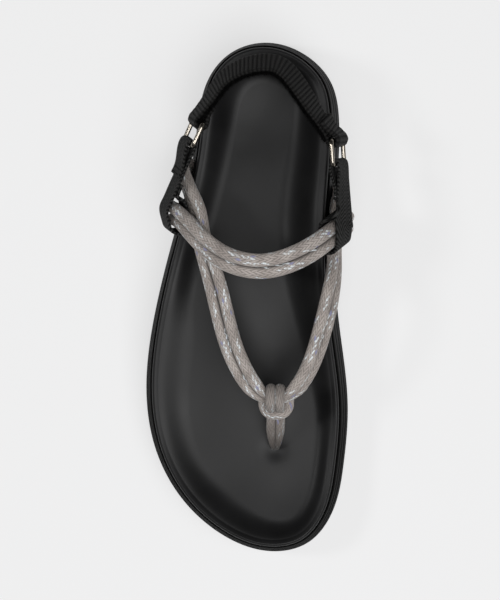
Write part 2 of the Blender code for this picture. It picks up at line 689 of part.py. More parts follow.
def make_tab(side, finish):
    """Webbing from its loop round the instep band to its fold round the ring."""
    middle, down, back, out = band_frame(side)
    centre, forward, bar, ring_out = ring_frame(side)
    thickness, layer = TAB_THICKNESS, TAB_THICKNESS + CLEARANCE
    # the run passes inside the lateral ring's bar and outside the medial one's
    face = -1 if side == "lateral" else 1
    half = ROPE / 2 * ROPE_NIP + TAB_ROOM[side]
    radius = ROPE / 2 + TAB_ROOM[side] + thickness / 2
    wrap = RING_WIRE / 2 + CLEARANCE + thickness / 2
    bar_place = centre + forward * (RING_GAP + RING_WIRE) / 2

    start = middle + back * half + out * radius
    join = bar_place + ring_out * wrap * face + forward * FOLD_START
    length = np.linalg.norm(join - start)
    shares = np.linspace(0, 1, 8)[:, None]
    run = start + (join - start) * shares
    run_way = unit(-down * (1 - shares) + bar * shares)
    run_out = unit(np.cross((start - join) / length, run_way))
    if np.dot(run_out[0], out) < 0:
        run_out = -run_out

    def lie(places, towards):
        """Points of a second layer on the run at the places, on the side towards."""
        at = np.asarray(places)[:, None] / length
        lean = unit(run_out[:1] * (1 - at) + run_out[-1:] * at)
        return start + (join - start) * at + lean * layer * towards, unit(-down * (1 - at) + bar * at)

    front = [half + radius + LOOP_CLOSE + LOOP_LAP, half + radius + LOOP_CLOSE]
    inner, inner_way = lie(front, -1)
    loop = np.concatenate([arc(middle + back * half, back, -out, radius, 20, 90, 4),
                           arc(middle - back * half, -out, -back, radius, 0, 180, 9)])
    turn = arc(bar_place, ring_out * face, -forward, wrap, 0, 180, 9)
    tail = LATERAL_FOLD if side == "lateral" else FOLD_LENGTH
    end, end_way = lie([length - FOLD_START, length - FOLD_START - tail], -face)
    points = np.concatenate([inner, loop, run, turn, end])
    loop_way, turn_way = np.tile(-down, (len(loop), 1)), np.tile(bar, (len(turn), 1))
    ways = np.concatenate([inner_way, loop_way, run_way, turn_way, end_way])
    return strip(f"{side}_tab", points, ways, thickness, finish)


def make_heel_strap(finish):
    """Ribbed band round the heel, folded outwards round the medial ring and inwards round the lateral one."""
    layer, wrap = HEEL_STRAP_THICKNESS + CLEARANCE, heel_wrap()
    knots = np.array([place(row) for row in HEEL_STRAP])
    run = smooth(knots, HEEL_STEP)
    spans = np.concatenate([[0], np.cumsum(np.linalg.norm(np.diff(knots, axis=0), axis=1))])
    level = unit(np.cross([0, 0, 1.0], tangents(run)))  # level way into the shoe
    leans = np.interp(np.linspace(0, spans[-1], len(run)), spans, column(HEEL_STRAP, "lean"))
    lean = np.radians(leans)[:, None]
    way = unit(np.array([[0, 0, 1.0]]) * np.cos(lean) + level * np.sin(lean))
    outward = unit(np.cross(tangents(run), way))
    walked = np.concatenate([[0], np.cumsum(np.linalg.norm(np.diff(run, axis=0), axis=1))])

    def lie(places, towards):
        """Points of a second layer on the run at the places, on the side towards."""
        read = [np.stack([np.interp(places, walked, rows[:, c]) for c in range(3)], axis=1)
                for rows in (run, outward, way)]
        return read[0] + unit(read[1]) * layer * towards, unit(read[2])

    tail = np.array([FOLD_START + FOLD_LENGTH, FOLD_START])
    first, first_way = lie(tail, 1)
    last, last_way = lie(walked[-1] - tail[::-1], -1)
    turns = {}
    for side, start, before, after in (("medial", 1, first[-1], run[1]), ("lateral", -1, last[0], run[-2])):
        centre, forward, bar, out = ring_frame(side)
        bar_place = centre - forward * (RING_GAP + RING_WIRE) / 2
        turns[side] = hug(bar_place, out * start, forward, wrap, before, after, 9), np.tile(bar, (9, 1))
    points = np.concatenate([first, turns["medial"][0], run[1:-1], turns["lateral"][0][::-1], last])
    ways = np.concatenate([first_way, turns["medial"][1], way[1:-1], turns["lateral"][1], last_way])
    return strip("heel_strap", points, ways, HEEL_STRAP_THICKNESS, finish)


def build():
    for old in list(bpy.data.objects):
        bpy.data.objects.remove(old, do_unlink=True)
    rubber = material("black rubber", (0.018, 0.018, 0.019), 0.62)
    foam = material("black foam", (0.022, 0.022, 0.023), 0.55)
    cover = material("black cover", (0.030, 0.030, 0.031), 0.42)
    rope = material("taupe rope", (0.40, 0.35, 0.31), 0.80)
    webbing = material("black webbing", (0.020, 0.020, 0.020), 0.75)
    metal = material("pale metal", (0.80, 0.74, 0.66), 0.25, 1.0)

    outsole = make_outsole(rubber)
    cutter(outsole, tread_cutter())
    midsole = make_midsole(foam)
    footbed = make_footbed(cover)
    make_rope_upper(rope)
    make_toe_post(rope)
    loop_hole = rope_pair("toe_loop_hole", TOE_LOOP, LOOP_ENDS, LOOP_STANDOFF, grow=CLEARANCE)
    band_hole = rope_pair("instep_band_hole", INSTEP_BAND, BAND_ENDS, BAND_STANDOFF, grow=CLEARANCE)
    post_hole = post_pair("toe_post_hole", grow=CLEARANCE)
    for tool in (loop_hole, band_hole, post_hole):
        cutter(midsole, tool)
    cutter(footbed, post_hole)
    for side in ("medial", "lateral"):
        make_ring(side, metal)
        make_tab(side, webbing)
    make_heel_strap(webbing)


build()
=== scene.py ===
import math

import bpy
import numpy as np
from mathutils import Matrix


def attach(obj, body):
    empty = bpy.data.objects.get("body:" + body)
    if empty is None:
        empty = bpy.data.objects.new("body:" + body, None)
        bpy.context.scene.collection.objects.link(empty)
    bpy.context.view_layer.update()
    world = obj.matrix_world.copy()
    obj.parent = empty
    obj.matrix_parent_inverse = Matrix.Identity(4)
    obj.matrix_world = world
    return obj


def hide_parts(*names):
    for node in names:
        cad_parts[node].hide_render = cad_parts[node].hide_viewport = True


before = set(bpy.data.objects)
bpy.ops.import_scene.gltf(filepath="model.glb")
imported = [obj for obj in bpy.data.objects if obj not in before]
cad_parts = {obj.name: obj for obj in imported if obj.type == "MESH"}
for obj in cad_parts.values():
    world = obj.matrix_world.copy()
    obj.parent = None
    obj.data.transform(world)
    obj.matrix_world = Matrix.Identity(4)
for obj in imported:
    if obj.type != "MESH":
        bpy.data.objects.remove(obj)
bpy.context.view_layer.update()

# Metres, +Z up, toe to -Y, big toe side to +X. Shares: along of the length from the heel, across of the ball
# width from the middle, up of the instep height from the floor.
shoe = dict(length=0.260, ballWidth=0.1037, instepHeight=0.077)


# Shapes: points, faces and the faces' own UVs, kept as arrays until a mesh is made

def unit(vectors):
    # Each vector divided by its own length
    vectors = np.asarray(vectors, float)
    return vectors / np.linalg.norm(vectors, axis=-1, keepdims=True).clip(1e-12)


def naturalCurve(knots, values, places):
    # Natural cubic through the values: piecewise cubics whose bends join, none at the two ends
    knots, values = np.asarray(knots, float), np.asarray(values, float)
    gaps = np.diff(knots)
    slopes = np.diff(values, axis=0) / gaps[:, None]
    size = len(knots)
    matrix = np.eye(size)
    inner = np.arange(1, size - 1)
    matrix[inner, inner - 1] = gaps[:-1]
    matrix[inner, inner] = 2 * (gaps[:-1] + gaps[1:])
    matrix[inner, inner + 1] = gaps[1:]
    right = np.zeros_like(values)
    right[1:-1] = 6 * np.diff(slopes, axis=0)
    bends = np.linalg.solve(matrix, right)
    cell = np.clip(np.searchsorted(knots, places) - 1, 0, size - 2)
    gap = gaps[cell][:, None]
    b = (places - knots[cell])[:, None] / gap
    a = 1 - b
    return (a * values[cell] + b * values[cell + 1]
            + ((a ** 3 - a) * bends[cell] + (b ** 3 - b) * bends[cell + 1]) * gap ** 2 / 6)


def walkedLength(points):
    # Running sum of the distances between the points, from zero
    return np.concatenate([[0], np.cumsum(np.linalg.norm(np.diff(points, axis=0), axis=1))])


def smoothPath(points, step):
    # Natural cubic of the points over the length walked, read at equal steps
    points = np.asarray(points, float)
    walked = walkedLength(points)
    return naturalCurve(walked, points, np.linspace(0, walked[-1], max(2, round(walked[-1] / step)) + 1))


def tangents(points):
    # Direction from each point's neighbour before it to the one after it
    return unit(np.gradient(points, axis=0))


def place(along, across, up=0.0):
    # Shares turned into metres
    along, across, up = np.broadcast_arrays(along, across, up)
    return np.stack([across * shoe["ballWidth"], (0.5 - along) * shoe["length"],
                     up * shoe["instepHeight"]], axis=-1)


def gridMap(u, v):
    # Every u beside every v, one row for each v
    return np.stack(np.broadcast_arrays(u[None], v[:, None]), axis=-1)


def gridShape(points, uv, caps=True):
    # Quads between the rows and columns of points[row, column], where the last column joins the first, so uv
    # has one column more. Caps are fans round the middles of the first and the last row.
    rows, columns = points.shape[:2]
    index = np.arange(rows * columns).reshape(rows, columns)
    index = np.concatenate([index, index[:, :1]], axis=1)
    corners = [index[:-1, :-1], index[:-1, 1:], index[1:, 1:], index[1:, :-1]]
    uvs = [uv[:-1, :-1], uv[:-1, 1:], uv[1:, 1:], uv[1:, :-1]]
    quads = np.stack(corners, axis=-1).reshape(-1, 4)
    quadUv = np.stack(uvs, axis=2).reshape(-1, 4, 2)
    verts = points.reshape(-1, 3)
    tris, triUv = np.zeros((0, 3), int), np.zeros((0, 3, 2))
    if caps:
        for row, turn in ((0, -1), (rows - 1, 1)):
            centre = len(verts)
            verts = np.concatenate([verts, points[row].mean(axis=0)[None]])
            ring = index[row][::turn]
            fan = np.stack([np.full(columns, centre), ring[:-1], ring[1:]], axis=1)
            tris = np.concatenate([tris, fan])
            triUv = np.concatenate([triUv, np.broadcast_to(uv[row, 0], (columns, 3, 2))])
    return dict(verts=verts, quads=quads, quadUv=quadUv, tris=tris, triUv=triUv)


def joined(shapes):
    # Several shapes as one, each with its point numbers moved on by the points before it
    offsets = np.cumsum([0] + [len(s["verts"]) for s in shapes])
    return dict(verts=np.concatenate([s["verts"] for s in shapes]),
                quads=np.concatenate([s["quads"] + o for s, o in zip(shapes, offsets)]),
                quadUv=np.concatenate([s["quadUv"] for s in shapes]),
                tris=np.concatenate([s["tris"] + o for s, o in zip(shapes, offsets)]),
                triUv=np.concatenate([s["triUv"] for s in shapes]))


def meshPiece(name, shape, material, nodes):
    # The arrays put into a mesh, which rides the only body and stands for its CAD nodes
    quads, tris = shape["quads"], shape["tris"]
    mesh = bpy.data.meshes.new(name)
    mesh.vertices.add(len(shape["verts"]))
    mesh.vertices.foreach_set("co", shape["verts"].astype(np.float32).ravel())
    mesh.loops.add(quads.size + tris.size)
    mesh.loops.foreach_set("vertex_index", np.concatenate([quads.ravel(), tris.ravel()]).astype(np.int32))
    mesh.polygons.add(len(quads) + len(tris))
    starts = np.concatenate([np.arange(len(quads)) * 4, quads.size + np.arange(len(tris)) * 3])
    mesh.polygons.foreach_set("loop_start", starts.astype(np.int32))
    mesh.update(calc_edges=True)
    uvs = np.concatenate([shape["quadUv"].reshape(-1, 2), shape["triUv"].reshape(-1, 2)])
    mesh.uv_layers.new(name="surface").data.foreach_set("uv", uvs.astype(np.float32).ravel())
    mesh.validate()
    mesh.shade_smooth()
    mesh.materials.append(material)
    piece = bpy.data.objects.new(name, mesh)
    bpy.context.scene.collection.objects.link(piece)
    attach(piece, "root")
    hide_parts(*nodes)
    return piece


def carried(path, side, up, profile, uv):
    # Each profile point stands at path + side * its first number + up * its second
    rings = path[:, None] + side[:, None] * profile[..., :1] + up[:, None] * profile[..., 1:]
    return gridShape(rings, uv)


# Materials

def nodeGroup(name, inputs, outputs):
    # An empty node group with named sockets, and its first and last node
    group = bpy.data.node_groups.new(name, "ShaderNodeTree")
    for label, kind, value in inputs:
        socket = group.interface.new_socket(name=label, in_out="INPUT", socket_type=kind)
        if value is not None:
            socket.default_value = value
    for label, kind in outputs:
        group.interface.new_socket(name=label, in_out="OUTPUT", socket_type=kind)
    return group, group.nodes.new("NodeGroupInput"), group.nodes.new("NodeGroupOutput")


class Wiring:
    # Short calls for the nodes of one tree
    def __init__(self, tree):
        self.tree = tree

    def node(self, kind, inputs=(), **settings):
        made = self.tree.nodes.new(kind)
        for label, value in settings.items():
            setattr(made, label, value)
        for label, value in dict(inputs).items():
            self.put(made.inputs[label], value)
        return made

    def put(self, socket, value):
        if isinstance(value, bpy.types.NodeSocket):
            self.tree.links.new(value, socket)
        else:
            socket.default_value = value

    def math(self, operation, *values):
        made = self.tree.nodes.new("ShaderNodeMath")
        made.operation = operation
        for socket, value in zip(made.inputs, values):
            self.put(socket, value)
        return made.outputs[0]

    def noise(self, vector, scale, detail=2.0, rough=0.5):
        return self.node("ShaderNodeTexNoise", {"Vector": vector, "Scale": scale, "Detail": detail,
                                                "Roughness": rough}).outputs["Fac"]

    def ramp(self, value, low, high, fromLow=0.0, fromHigh=1.0):
        return self.node("ShaderNodeMapRange", {"Value": value, "From Min": fromLow, "From Max": fromHigh,
                                                "To Min": low, "To Max": high}).outputs["Result"]

    def mix(self, factor, first, second):
        made = self.tree.nodes.new("ShaderNodeMix")
        made.data_type = "RGBA"
        for socket, value in ((made.inputs[0], factor), (made.inputs[6], first), (made.inputs[7], second)):
            self.put(socket, value)
        return made.outputs[2]


def colour(red, green, blue):
    return red, green, blue, 1.0


grainMix = dict(cells=0.7, fine=0.5, specks=900.0, speckSpan=(0.66, 0.80))


def grainGroup():
    # Fine pebbled grain with soft patches of wear and a little dust, on Object coordinates
    group, start, end = nodeGroup(
        "fineGrain",
        [("Scale", "NodeSocketFloat", 2200.0), ("Patches", "NodeSocketFloat", 40.0)],
        [("Height", "NodeSocketFloat"), ("Patch", "NodeSocketFloat"), ("Dust", "NodeSocketFloat")])
    w = Wiring(group)
    where = w.node("ShaderNodeTexCoord").outputs["Object"]
    scale = start.outputs["Scale"]
    cells = w.node("ShaderNodeTexVoronoi", {"Vector": where, "Scale": scale}).outputs["Distance"]
    fine = w.noise(where, scale, 3.0, 0.6)
    coarse = w.math("MULTIPLY", cells, grainMix["cells"])
    w.put(end.inputs["Height"], w.math("ADD", coarse, w.math("MULTIPLY", fine, grainMix["fine"])))
    w.put(end.inputs["Patch"], w.noise(where, start.outputs["Patches"], 4.0, 0.55))
    specks = w.noise(where, grainMix["specks"], 2.0, 0.7)
    w.put(end.inputs["Dust"], w.ramp(specks, 0.0, 1.0, *grainMix["speckSpan"]))
    return group


# crown rounds a strand and top is its height; waves, depth and shade are of the fine yarns in it, shade being
# their share of the painted shade; flank weighs the painted shade on the strands' flanks, and seam sets where
# the painted shade along u = 0, where two ropes touch, starts and ends; fleck and violet values say which
# strands carry them, and above which random value they show
braidYarns = dict(crown=0.27, top=0.52, waves=18.85, depth=0.045, shade=0.10, flank=0.75, seam=(0.36, 0.46),
                  fleckPeriod=6.0, fleckStrands=1.5, fleckLimit=0.30, fleckCrown=(0.25, 0.40),
                  violetStrand=4.0, violetLimit=0.72)


def braidGroup():
    # Two families of strands wind round the rope in opposite directions and cross over two, under two.
    # UV: once round in u, and v in turns of the strands' lay. a and b number the strands of the two families.
    group, start, end = nodeGroup(
        "braid",
        [("UV", "NodeSocketVector", None), ("Strands", "NodeSocketFloat", 12.0)],
        [("Height", "NodeSocketFloat"), ("Fleck", "NodeSocketFloat"), ("Violet", "NodeSocketFloat"),
         ("Shade", "NodeSocketFloat")])
    w = Wiring(group)
    yarns = braidYarns
    split = w.node("ShaderNodeSeparateXYZ", {"Vector": start.outputs["UV"]})
    u, v, count = split.outputs["X"], split.outputs["Y"], start.outputs["Strands"]
    a = w.math("MULTIPLY", w.math("ADD", u, v), count)
    b = w.math("MULTIPLY", w.math("SUBTRACT", u, v), count)
    indexA, indexB = w.math("FLOOR", a), w.math("FLOOR", b)
    over = w.math("LESS_THAN", w.math("FLOORED_MODULO", w.math("ADD", indexA, indexB), 4.0), 1.5)

    def rounded(value):
        # Root of the crown less the square of the distance from the strand's middle
        across = w.math("SUBTRACT", w.math("FRACT", value), 0.5)
        rest = w.math("SUBTRACT", yarns["crown"], w.math("MULTIPLY", across, across))
        return w.math("SQRT", w.math("MAXIMUM", rest, 0.0))

    def onTop(first, second):
        return w.node("ShaderNodeMix", {0: over, 2: second, 3: first}, data_type="FLOAT").outputs[0]

    def chance(x, y, limit):
        # 1 in the cells whose random value is above the limit
        cell = w.node("ShaderNodeCombineXYZ", {"X": x, "Y": y}).outputs[0]
        dice = w.node("ShaderNodeTexWhiteNoise", {"Vector": cell}, noise_dimensions="2D")
        return w.math("GREATER_THAN", dice.outputs["Value"], limit)

    strand = onTop(rounded(a), rounded(b))
    middle = w.math("SUBTRACT", w.math("FRACT", onTop(a, b)), 0.5)
    flank = w.math("MULTIPLY", w.math("MULTIPLY", middle, middle), 4.0)
    fine = w.math("SINE", w.math("MULTIPLY", onTop(a, b), yarns["waves"]))
    w.put(end.inputs["Height"], w.math("ADD", strand, w.math("MULTIPLY", fine, yarns["depth"])))
    # two strands in six of the first family carry the reflective yarn, which shows where they lie on top
    carrier = w.math("FLOORED_MODULO", w.math("FLOORED_MODULO", indexA, count), yarns["fleckPeriod"])
    bright = w.math("MULTIPLY", w.math("LESS_THAN", carrier, yarns["fleckStrands"]), over)
    patch = chance(indexA, w.math("FLOOR", w.math("MULTIPLY", b, 0.5)), yarns["fleckLimit"])
    crown = w.ramp(strand, 0.0, 1.0, *yarns["fleckCrown"])
    w.put(end.inputs["Fleck"], w.math("MULTIPLY", w.math("MULTIPLY", bright, patch), crown))
    # one strand of the second family carries a violet yarn
    away = w.math("SUBTRACT", w.math("FLOORED_MODULO", indexB, count), yarns["violetStrand"])
    other = w.math("LESS_THAN", w.math("ABSOLUTE", away), 0.5)
    rare = w.math("MULTIPLY", other, chance(indexA, indexB, yarns["violetLimit"]))
    w.put(end.inputs["Violet"], w.math("MULTIPLY", rare, w.math("SUBTRACT", 1.0, over)))
    # painted shade: darker on the strands' flanks, a little along the fine yarns, and along u = 0, where a
    # rope lies against its neighbour
    side = w.math("ABSOLUTE", w.math("SUBTRACT", w.math("FRACT", u), 0.5))
    seam = w.ramp(side, 0.0, 1.0, *yarns["seam"])
    flanks = w.math("MULTIPLY", flank, yarns["flank"])
    shade = w.math("ADD", flanks, w.math("MULTIPLY", fine, yarns["shade"]))
    w.put(end.inputs["Shade"], w.math("MAXIMUM", shade, seam))
    return group


weaveMix = dict(floats=0.7, threads=0.3, contrast=2.5)


def weaveGroup():
    # Herringbone twill: diagonal floats that turn back every block, or plain ribs across where Slant is 0.
    # UV in threads across and along.
    group, start, end = nodeGroup(
        "weave",
        [("UV", "NodeSocketVector", None), ("Block", "NodeSocketFloat", 8.0),
         ("Slant", "NodeSocketFloat", 1.0)],
        [("Height", "NodeSocketFloat"), ("Shade", "NodeSocketFloat")])
    w = Wiring(group)
    split = w.node("ShaderNodeSeparateXYZ", {"Vector": start.outputs["UV"]})
    u, v = split.outputs["X"], split.outputs["Y"]
    zigzag = w.math("MULTIPLY", w.math("PINGPONG", u, start.outputs["Block"]), start.outputs["Slant"])
    twill = w.math("FRACT", w.math("MULTIPLY", w.math("ADD", zigzag, v), 0.25))
    floats = w.math("SINE", w.math("MULTIPLY", twill, math.pi))
    threads = w.math("ABSOLUTE", w.math("SINE", w.math("MULTIPLY", u, math.pi)))
    height = w.math("ADD", w.math("MULTIPLY", floats, weaveMix["floats"]),
                    w.math("MULTIPLY", threads, weaveMix["threads"]))
    w.put(end.inputs["Height"], height)
    # Shade, the height to a power, is painted light: lighter on the raised threads and darker between them
    w.put(end.inputs["Shade"], w.math("POWER", height, weaveMix["contrast"]))
    return group


grain, braid, weave = grainGroup(), braidGroup(), weaveGroup()


def newMaterial(name, roughness, metallic=0.0, specular=0.5, sheen=0.0):
    # A Principled BSDF with plain values, and the wiring of its tree
    material = bpy.data.materials.new(name)
    material.use_nodes = True
    w = Wiring(material.node_tree)
    shader = material.node_tree.nodes["Principled BSDF"]
    for label, value in (("Roughness", roughness), ("Metallic", metallic), ("Sheen Weight", sheen),
                         ("Specular IOR Level", specular)):
        shader.inputs[label].default_value = value
    return material, w, shader


def bump(w, shader, height, look):
    made = w.node("ShaderNodeBump", {"Height": height, "Strength": look["bump"], "Distance": look["depth"]})
    w.put(shader.inputs["Normal"], made.outputs["Normal"])


dustColour = colour(0.30, 0.29, 0.28)
patchSpan = dict(colour=(0.35, 0.65), rough=(0.3, 0.7))  # values of Patch between which a look changes


def grainedMaterial(name, look):
    # Grain, patches and dust from the fineGrain group
    material, w, shader = newMaterial(name, look["rough"][0], specular=look["specular"])
    made = w.node("ShaderNodeGroup", node_tree=grain)
    made.inputs["Scale"].default_value = look["grain"]
    made.inputs["Patches"].default_value = look["patches"]
    patch = made.outputs["Patch"]
    base = w.mix(w.ramp(patch, 0.0, 1.0, *patchSpan["colour"]), look["dark"], look["light"])
    dusty = w.mix(w.math("MULTIPLY", made.outputs["Dust"], look["dust"]), base, dustColour)
    w.put(shader.inputs["Base Color"], dusty)
    w.put(shader.inputs["Roughness"], w.ramp(patch, *look["rough"], *patchSpan["rough"]))
    bump(w, shader, made.outputs["Height"], look)
    return material


def ropeMaterial(name, look):
    # Braid with flecks, worn here and there, with painted shade in its grooves, and painted shade where the
    # rope goes down into the sole
    material, w, shader = newMaterial(name, look["rough"][0], sheen=look["sheen"])
    uv = w.node("ShaderNodeUVMap", uv_map="surface").outputs["UV"]
    made = w.node("ShaderNodeGroup", {"UV": uv, "Strands": look["strands"]}, node_tree=braid)
    where = w.node("ShaderNodeTexCoord").outputs["Object"]
    tone = w.ramp(w.noise(where, look["toneScale"], 3.0), 0.0, 1.0, *look["tone"])
    base = w.mix(tone, look["dark"], look["light"])
    # painted shade: the braid's Shade mixes the colour towards the groove colour
    shaded = w.mix(w.ramp(made.outputs["Shade"], 0.0, look["shade"]), base, look["groove"])
    worn = w.ramp(w.noise(where, look["wearScale"], 2.0), 0.1, 1.0, *look["wear"])
    flecked = w.mix(w.math("MULTIPLY", made.outputs["Fleck"], worn), shaded, look["fleck"])
    coloured = w.mix(made.outputs["Violet"], flecked, look["violet"])
    # painted shade at the rope's start, where it goes down into the sole, fading over the foot stretch
    turns = w.node("ShaderNodeSeparateXYZ", {"Vector": uv}).outputs["Y"]
    foot = w.ramp(turns, look["shade"], 0.0, *look["foot"])
    w.put(shader.inputs["Base Color"], w.mix(foot, coloured, look["groove"]))
    w.put(shader.inputs["Roughness"], w.ramp(made.outputs["Fleck"], *look["rough"]))
    bump(w, shader, made.outputs["Height"], look)
    return material


def webbingMaterial(name, look):
    # Threads from the weave group, light where they stand high and dark where they lie low: painted highlight
    # and painted shade
    material, w, shader = newMaterial(name, look["rough"][0], specular=look["specular"])
    uv = w.node("ShaderNodeUVMap", uv_map="surface").outputs["UV"]
    made = w.node("ShaderNodeGroup", {"UV": uv, "Block": look["block"], "Slant": look["slant"]},
                  node_tree=weave)
    w.put(shader.inputs["Base Color"], w.mix(made.outputs["Shade"], look["dark"], look["light"]))
    w.put(shader.inputs["Roughness"], w.ramp(made.outputs["Height"], *look["rough"]))
    bump(w, shader, made.outputs["Height"], look)
    return material


def metalMaterial(name, look):
    # Fine scratches change colour, roughness and height together
    material, w, shader = newMaterial(name, look["rough"][0], metallic=1.0)
    scratches = w.noise(w.node("ShaderNodeTexCoord").outputs["Object"], look["scratches"], 4.0, 0.7)
    w.put(shader.inputs["Base Color"], w.mix(scratches, look["dark"], look["light"]))
    w.put(shader.inputs["Roughness"], w.ramp(scratches, *look["rough"]))
    bump(w, shader, scratches, look)
    return material


def pileMaterial(name, look):
    # Two noises, one for the tone and a finer one for the height
    material, w, shader = newMaterial(name, look["rough"], specular=look["specular"])
    where = w.node("ShaderNodeTexCoord").outputs["Object"]
    tone = w.noise(where, look["patches"])
    w.put(shader.inputs["Base Color"], w.mix(tone, look["dark"], look["light"]))
    bump(w, shader, w.noise(where, look["hairs"], 4.0, 0.7), look)
    return material


soleLooks = dict(
    rubber=dict(dark=colour(0.005, 0.005, 0.005), light=colour(0.008, 0.008, 0.008), rough=(0.48, 0.60),
                grain=1500.0, patches=45.0, dust=0.03, bump=0.25, depth=0.00015, specular=0.02),
    foam=dict(dark=colour(0.004, 0.004, 0.004), light=colour(0.007, 0.007, 0.007), rough=(0.46, 0.56),
              grain=2600.0, patches=60.0, dust=0.02, bump=0.20, depth=0.00010, specular=0.03),
    cover=dict(dark=colour(0.004, 0.004, 0.0042), light=colour(0.007, 0.007, 0.0073), rough=(0.46, 0.52),
               grain=3000.0, patches=35.0, dust=0.015, bump=0.15, depth=0.00006, specular=0.27))
# foot is the stretch, in turns of the lay, where a rope fades from its dark end, painted shade where it goes
# down into the sole;
# the long ropes have none. groove is the colour that all of a rope's painted shade tends to
ropeLook = dict(strands=14.0, dark=colour(0.285, 0.250, 0.228), light=colour(0.455, 0.408, 0.378),
                groove=colour(0.036, 0.030, 0.026), fleck=colour(0.64, 0.68, 0.70),
                violet=colour(0.24, 0.24, 0.36), foot=(-2.0, -1.0), shade=0.9, toneScale=120.0,
                tone=(0.3, 0.7), wearScale=900.0, wear=(0.40, 0.58), rough=(0.75, 0.45), sheen=0.1,
                bump=0.8, depth=0.0006)
# the toe post: the same braid in darker colours, with a darker fleck too, as painted shade
postLook = dict(ropeLook, foot=(0.14, 0.48), dark=colour(0.19, 0.167, 0.152),
                light=colour(0.33, 0.296, 0.274), fleck=colour(0.42, 0.44, 0.45))
webbingLook = dict(dark=colour(0.0008, 0.0008, 0.0008), light=colour(0.040, 0.040, 0.039), rough=(0.80, 0.55),
                   block=8.0, slant=1.0, specular=0.06, bump=0.7, depth=0.0005)
# the heel band's ribs are painted the same way: painted highlight on their tops and painted shade between
# them
ribbedLook = dict(webbingLook, dark=colour(0.004, 0.004, 0.004), light=colour(0.018, 0.0175, 0.017),
                  slant=0.0, depth=0.0004)
metalLook = dict(dark=colour(0.20, 0.18, 0.15), light=colour(0.34, 0.31, 0.27), rough=(0.12, 0.34),
                 scratches=1500.0, bump=0.15, depth=0.00004)
pileLook = dict(dark=colour(0.0010, 0.0010, 0.0010), light=colour(0.012, 0.012, 0.0118), rough=0.95,
                specular=0.02, patches=700.0, hairs=2600.0, bump=0.8, depth=0.0004)
rubber = grainedMaterial("blackRubber", soleLooks["rubber"])
foam = grainedMaterial("blackFoam", soleLooks["foam"])
cover = grainedMaterial("blackCover", soleLooks["cover"])
ropeCloth = ropeMaterial("fleckedRope", ropeLook)
postCloth = ropeMaterial("fleckedPost", postLook)
webbing = webbingMaterial("blackWebbing", webbingLook)
ribbed = webbingMaterial("ribbedBand", ribbedLook)
metal = metalMaterial("paleMetal", metalLook)
pile = pileMaterial("blackPile", pileLook)
print("materials made")


# Sole: outsole, midsole and footbed share one outline

sole = dict(around=1024, toeSpring=0.008, springStart=0.72, heelLift=0.0015, liftEnd=0.05, outsoleEdge=0.008,
            bedHeight=0.026, bedThickness=0.004, rimHeight=0.010, slopeWidth=0.014, lipInset=0.0043,
            lipWidth=0.0030, lipHeight=0.0036, grooveDepth=0.0010, ridgeInset=0.0031, ribs=3, ribDepth=0.0009,
            gap=0.0003, lipCrease=0.32, slopeFall=2.6, toeReach=0.75, wideStart=0.53, wideFade=0.05,
            wideSide=0.02, nearMiddle=0.97, spineEnds=(0.13, 0.87), overlap=4, fineSteps=3000)
# from the heel along the lateral side to the toe and back; rim and slope are shares of rimHeight and
# slopeWidth
outline = dict(
    along=[0.000, 0.024, 0.080, 0.143, 0.235, 0.376, 0.545, 0.679, 0.799, 0.898, 0.968,
           1.000, 0.982, 0.926, 0.827, 0.722, 0.545, 0.334, 0.158, 0.080, 0.024],
    across=[0.083, -0.107, -0.213, -0.251, -0.284, -0.372, -0.475, -0.512, -0.468, -0.335, -0.134,
            0.110, 0.297, 0.410, 0.469, 0.488, 0.442, 0.424, 0.444, 0.406, 0.277],
    rim=[1.00, 1.00, 0.98, 0.92, 0.80, 0.66, 0.50, 0.48, 0.52, 0.56, 0.58,
         0.58, 0.57, 0.55, 0.52, 0.55, 0.95, 1.36, 1.16, 1.04, 1.00],
    slope=[1.00, 1.00, 0.98, 0.95, 0.95, 0.95, 0.78, 0.64, 0.60, 0.58, 0.58,
           0.58, 0.58, 0.58, 0.60, 0.66, 1.10, 1.55, 1.15, 1.02, 1.00])
bedLine = dict(along=[0.00, 0.14, 0.30, 0.46, 0.60, 0.72, 0.86, 1.00],
               height=[1.02, 0.98, 1.02, 1.03, 0.86, 0.72, 0.74, 0.96],
               middle=[0.083, 0.083, 0.070, 0.030, 0.000, 0.000, 0.045, 0.100])


def soleEdge():
    # Closed curve through the outline's rows, each side in equal steps: columns x, y, rim height, slope width
    rows = np.stack([np.array(outline["across"]) * shoe["ballWidth"],
                     (0.5 - np.array(outline["along"])) * shoe["length"],
                     np.array(outline["rim"]) * sole["rimHeight"],
                     np.array(outline["slope"]) * sole["slopeWidth"]], axis=1)
    before, count = sole["overlap"], len(rows)
    looped = np.concatenate([rows[-before:], rows, rows[:before + 1]])
    walked = walkedLength(looped[:, :2])
    toe = int(np.argmax(outline["along"]))
    sides = []
    for first, last in ((before, before + toe), (before + toe, before + count)):
        fine = naturalCurve(walked, looped, np.linspace(walked[first], walked[last], sole["fineSteps"]))
        length = walkedLength(fine[:, :2])
        even = np.linspace(0, length[-1], sole["around"] // 2 + 1)[:-1]
        sides.append(np.stack([np.interp(even, length, fine[:, c]) for c in range(4)], axis=1))
    return np.concatenate(sides)


edge = soleEdge()
edgeTangent = unit(np.roll(edge[:, :2], -1, axis=0) - np.roll(edge[:, :2], 1, axis=0))
edgeInward = np.stack([-edgeTangent[:, 1], edgeTangent[:, 0]], axis=1)


def alongOf(y):
    # Share along of a place in metres
    return 0.5 - np.asarray(y, float) / shoe["length"]


def underside(y):
    # Flat, with a square-law toe spring in front and heel round behind
    along = alongOf(y)
    toe = np.clip((along - sole["springStart"]) / (1 - sole["springStart"]), 0, None) ** 2
    heel = np.clip((sole["liftEnd"] - along) / sole["liftEnd"], 0, None) ** 2
    return sole["toeSpring"] * toe + sole["heelLift"] * heel


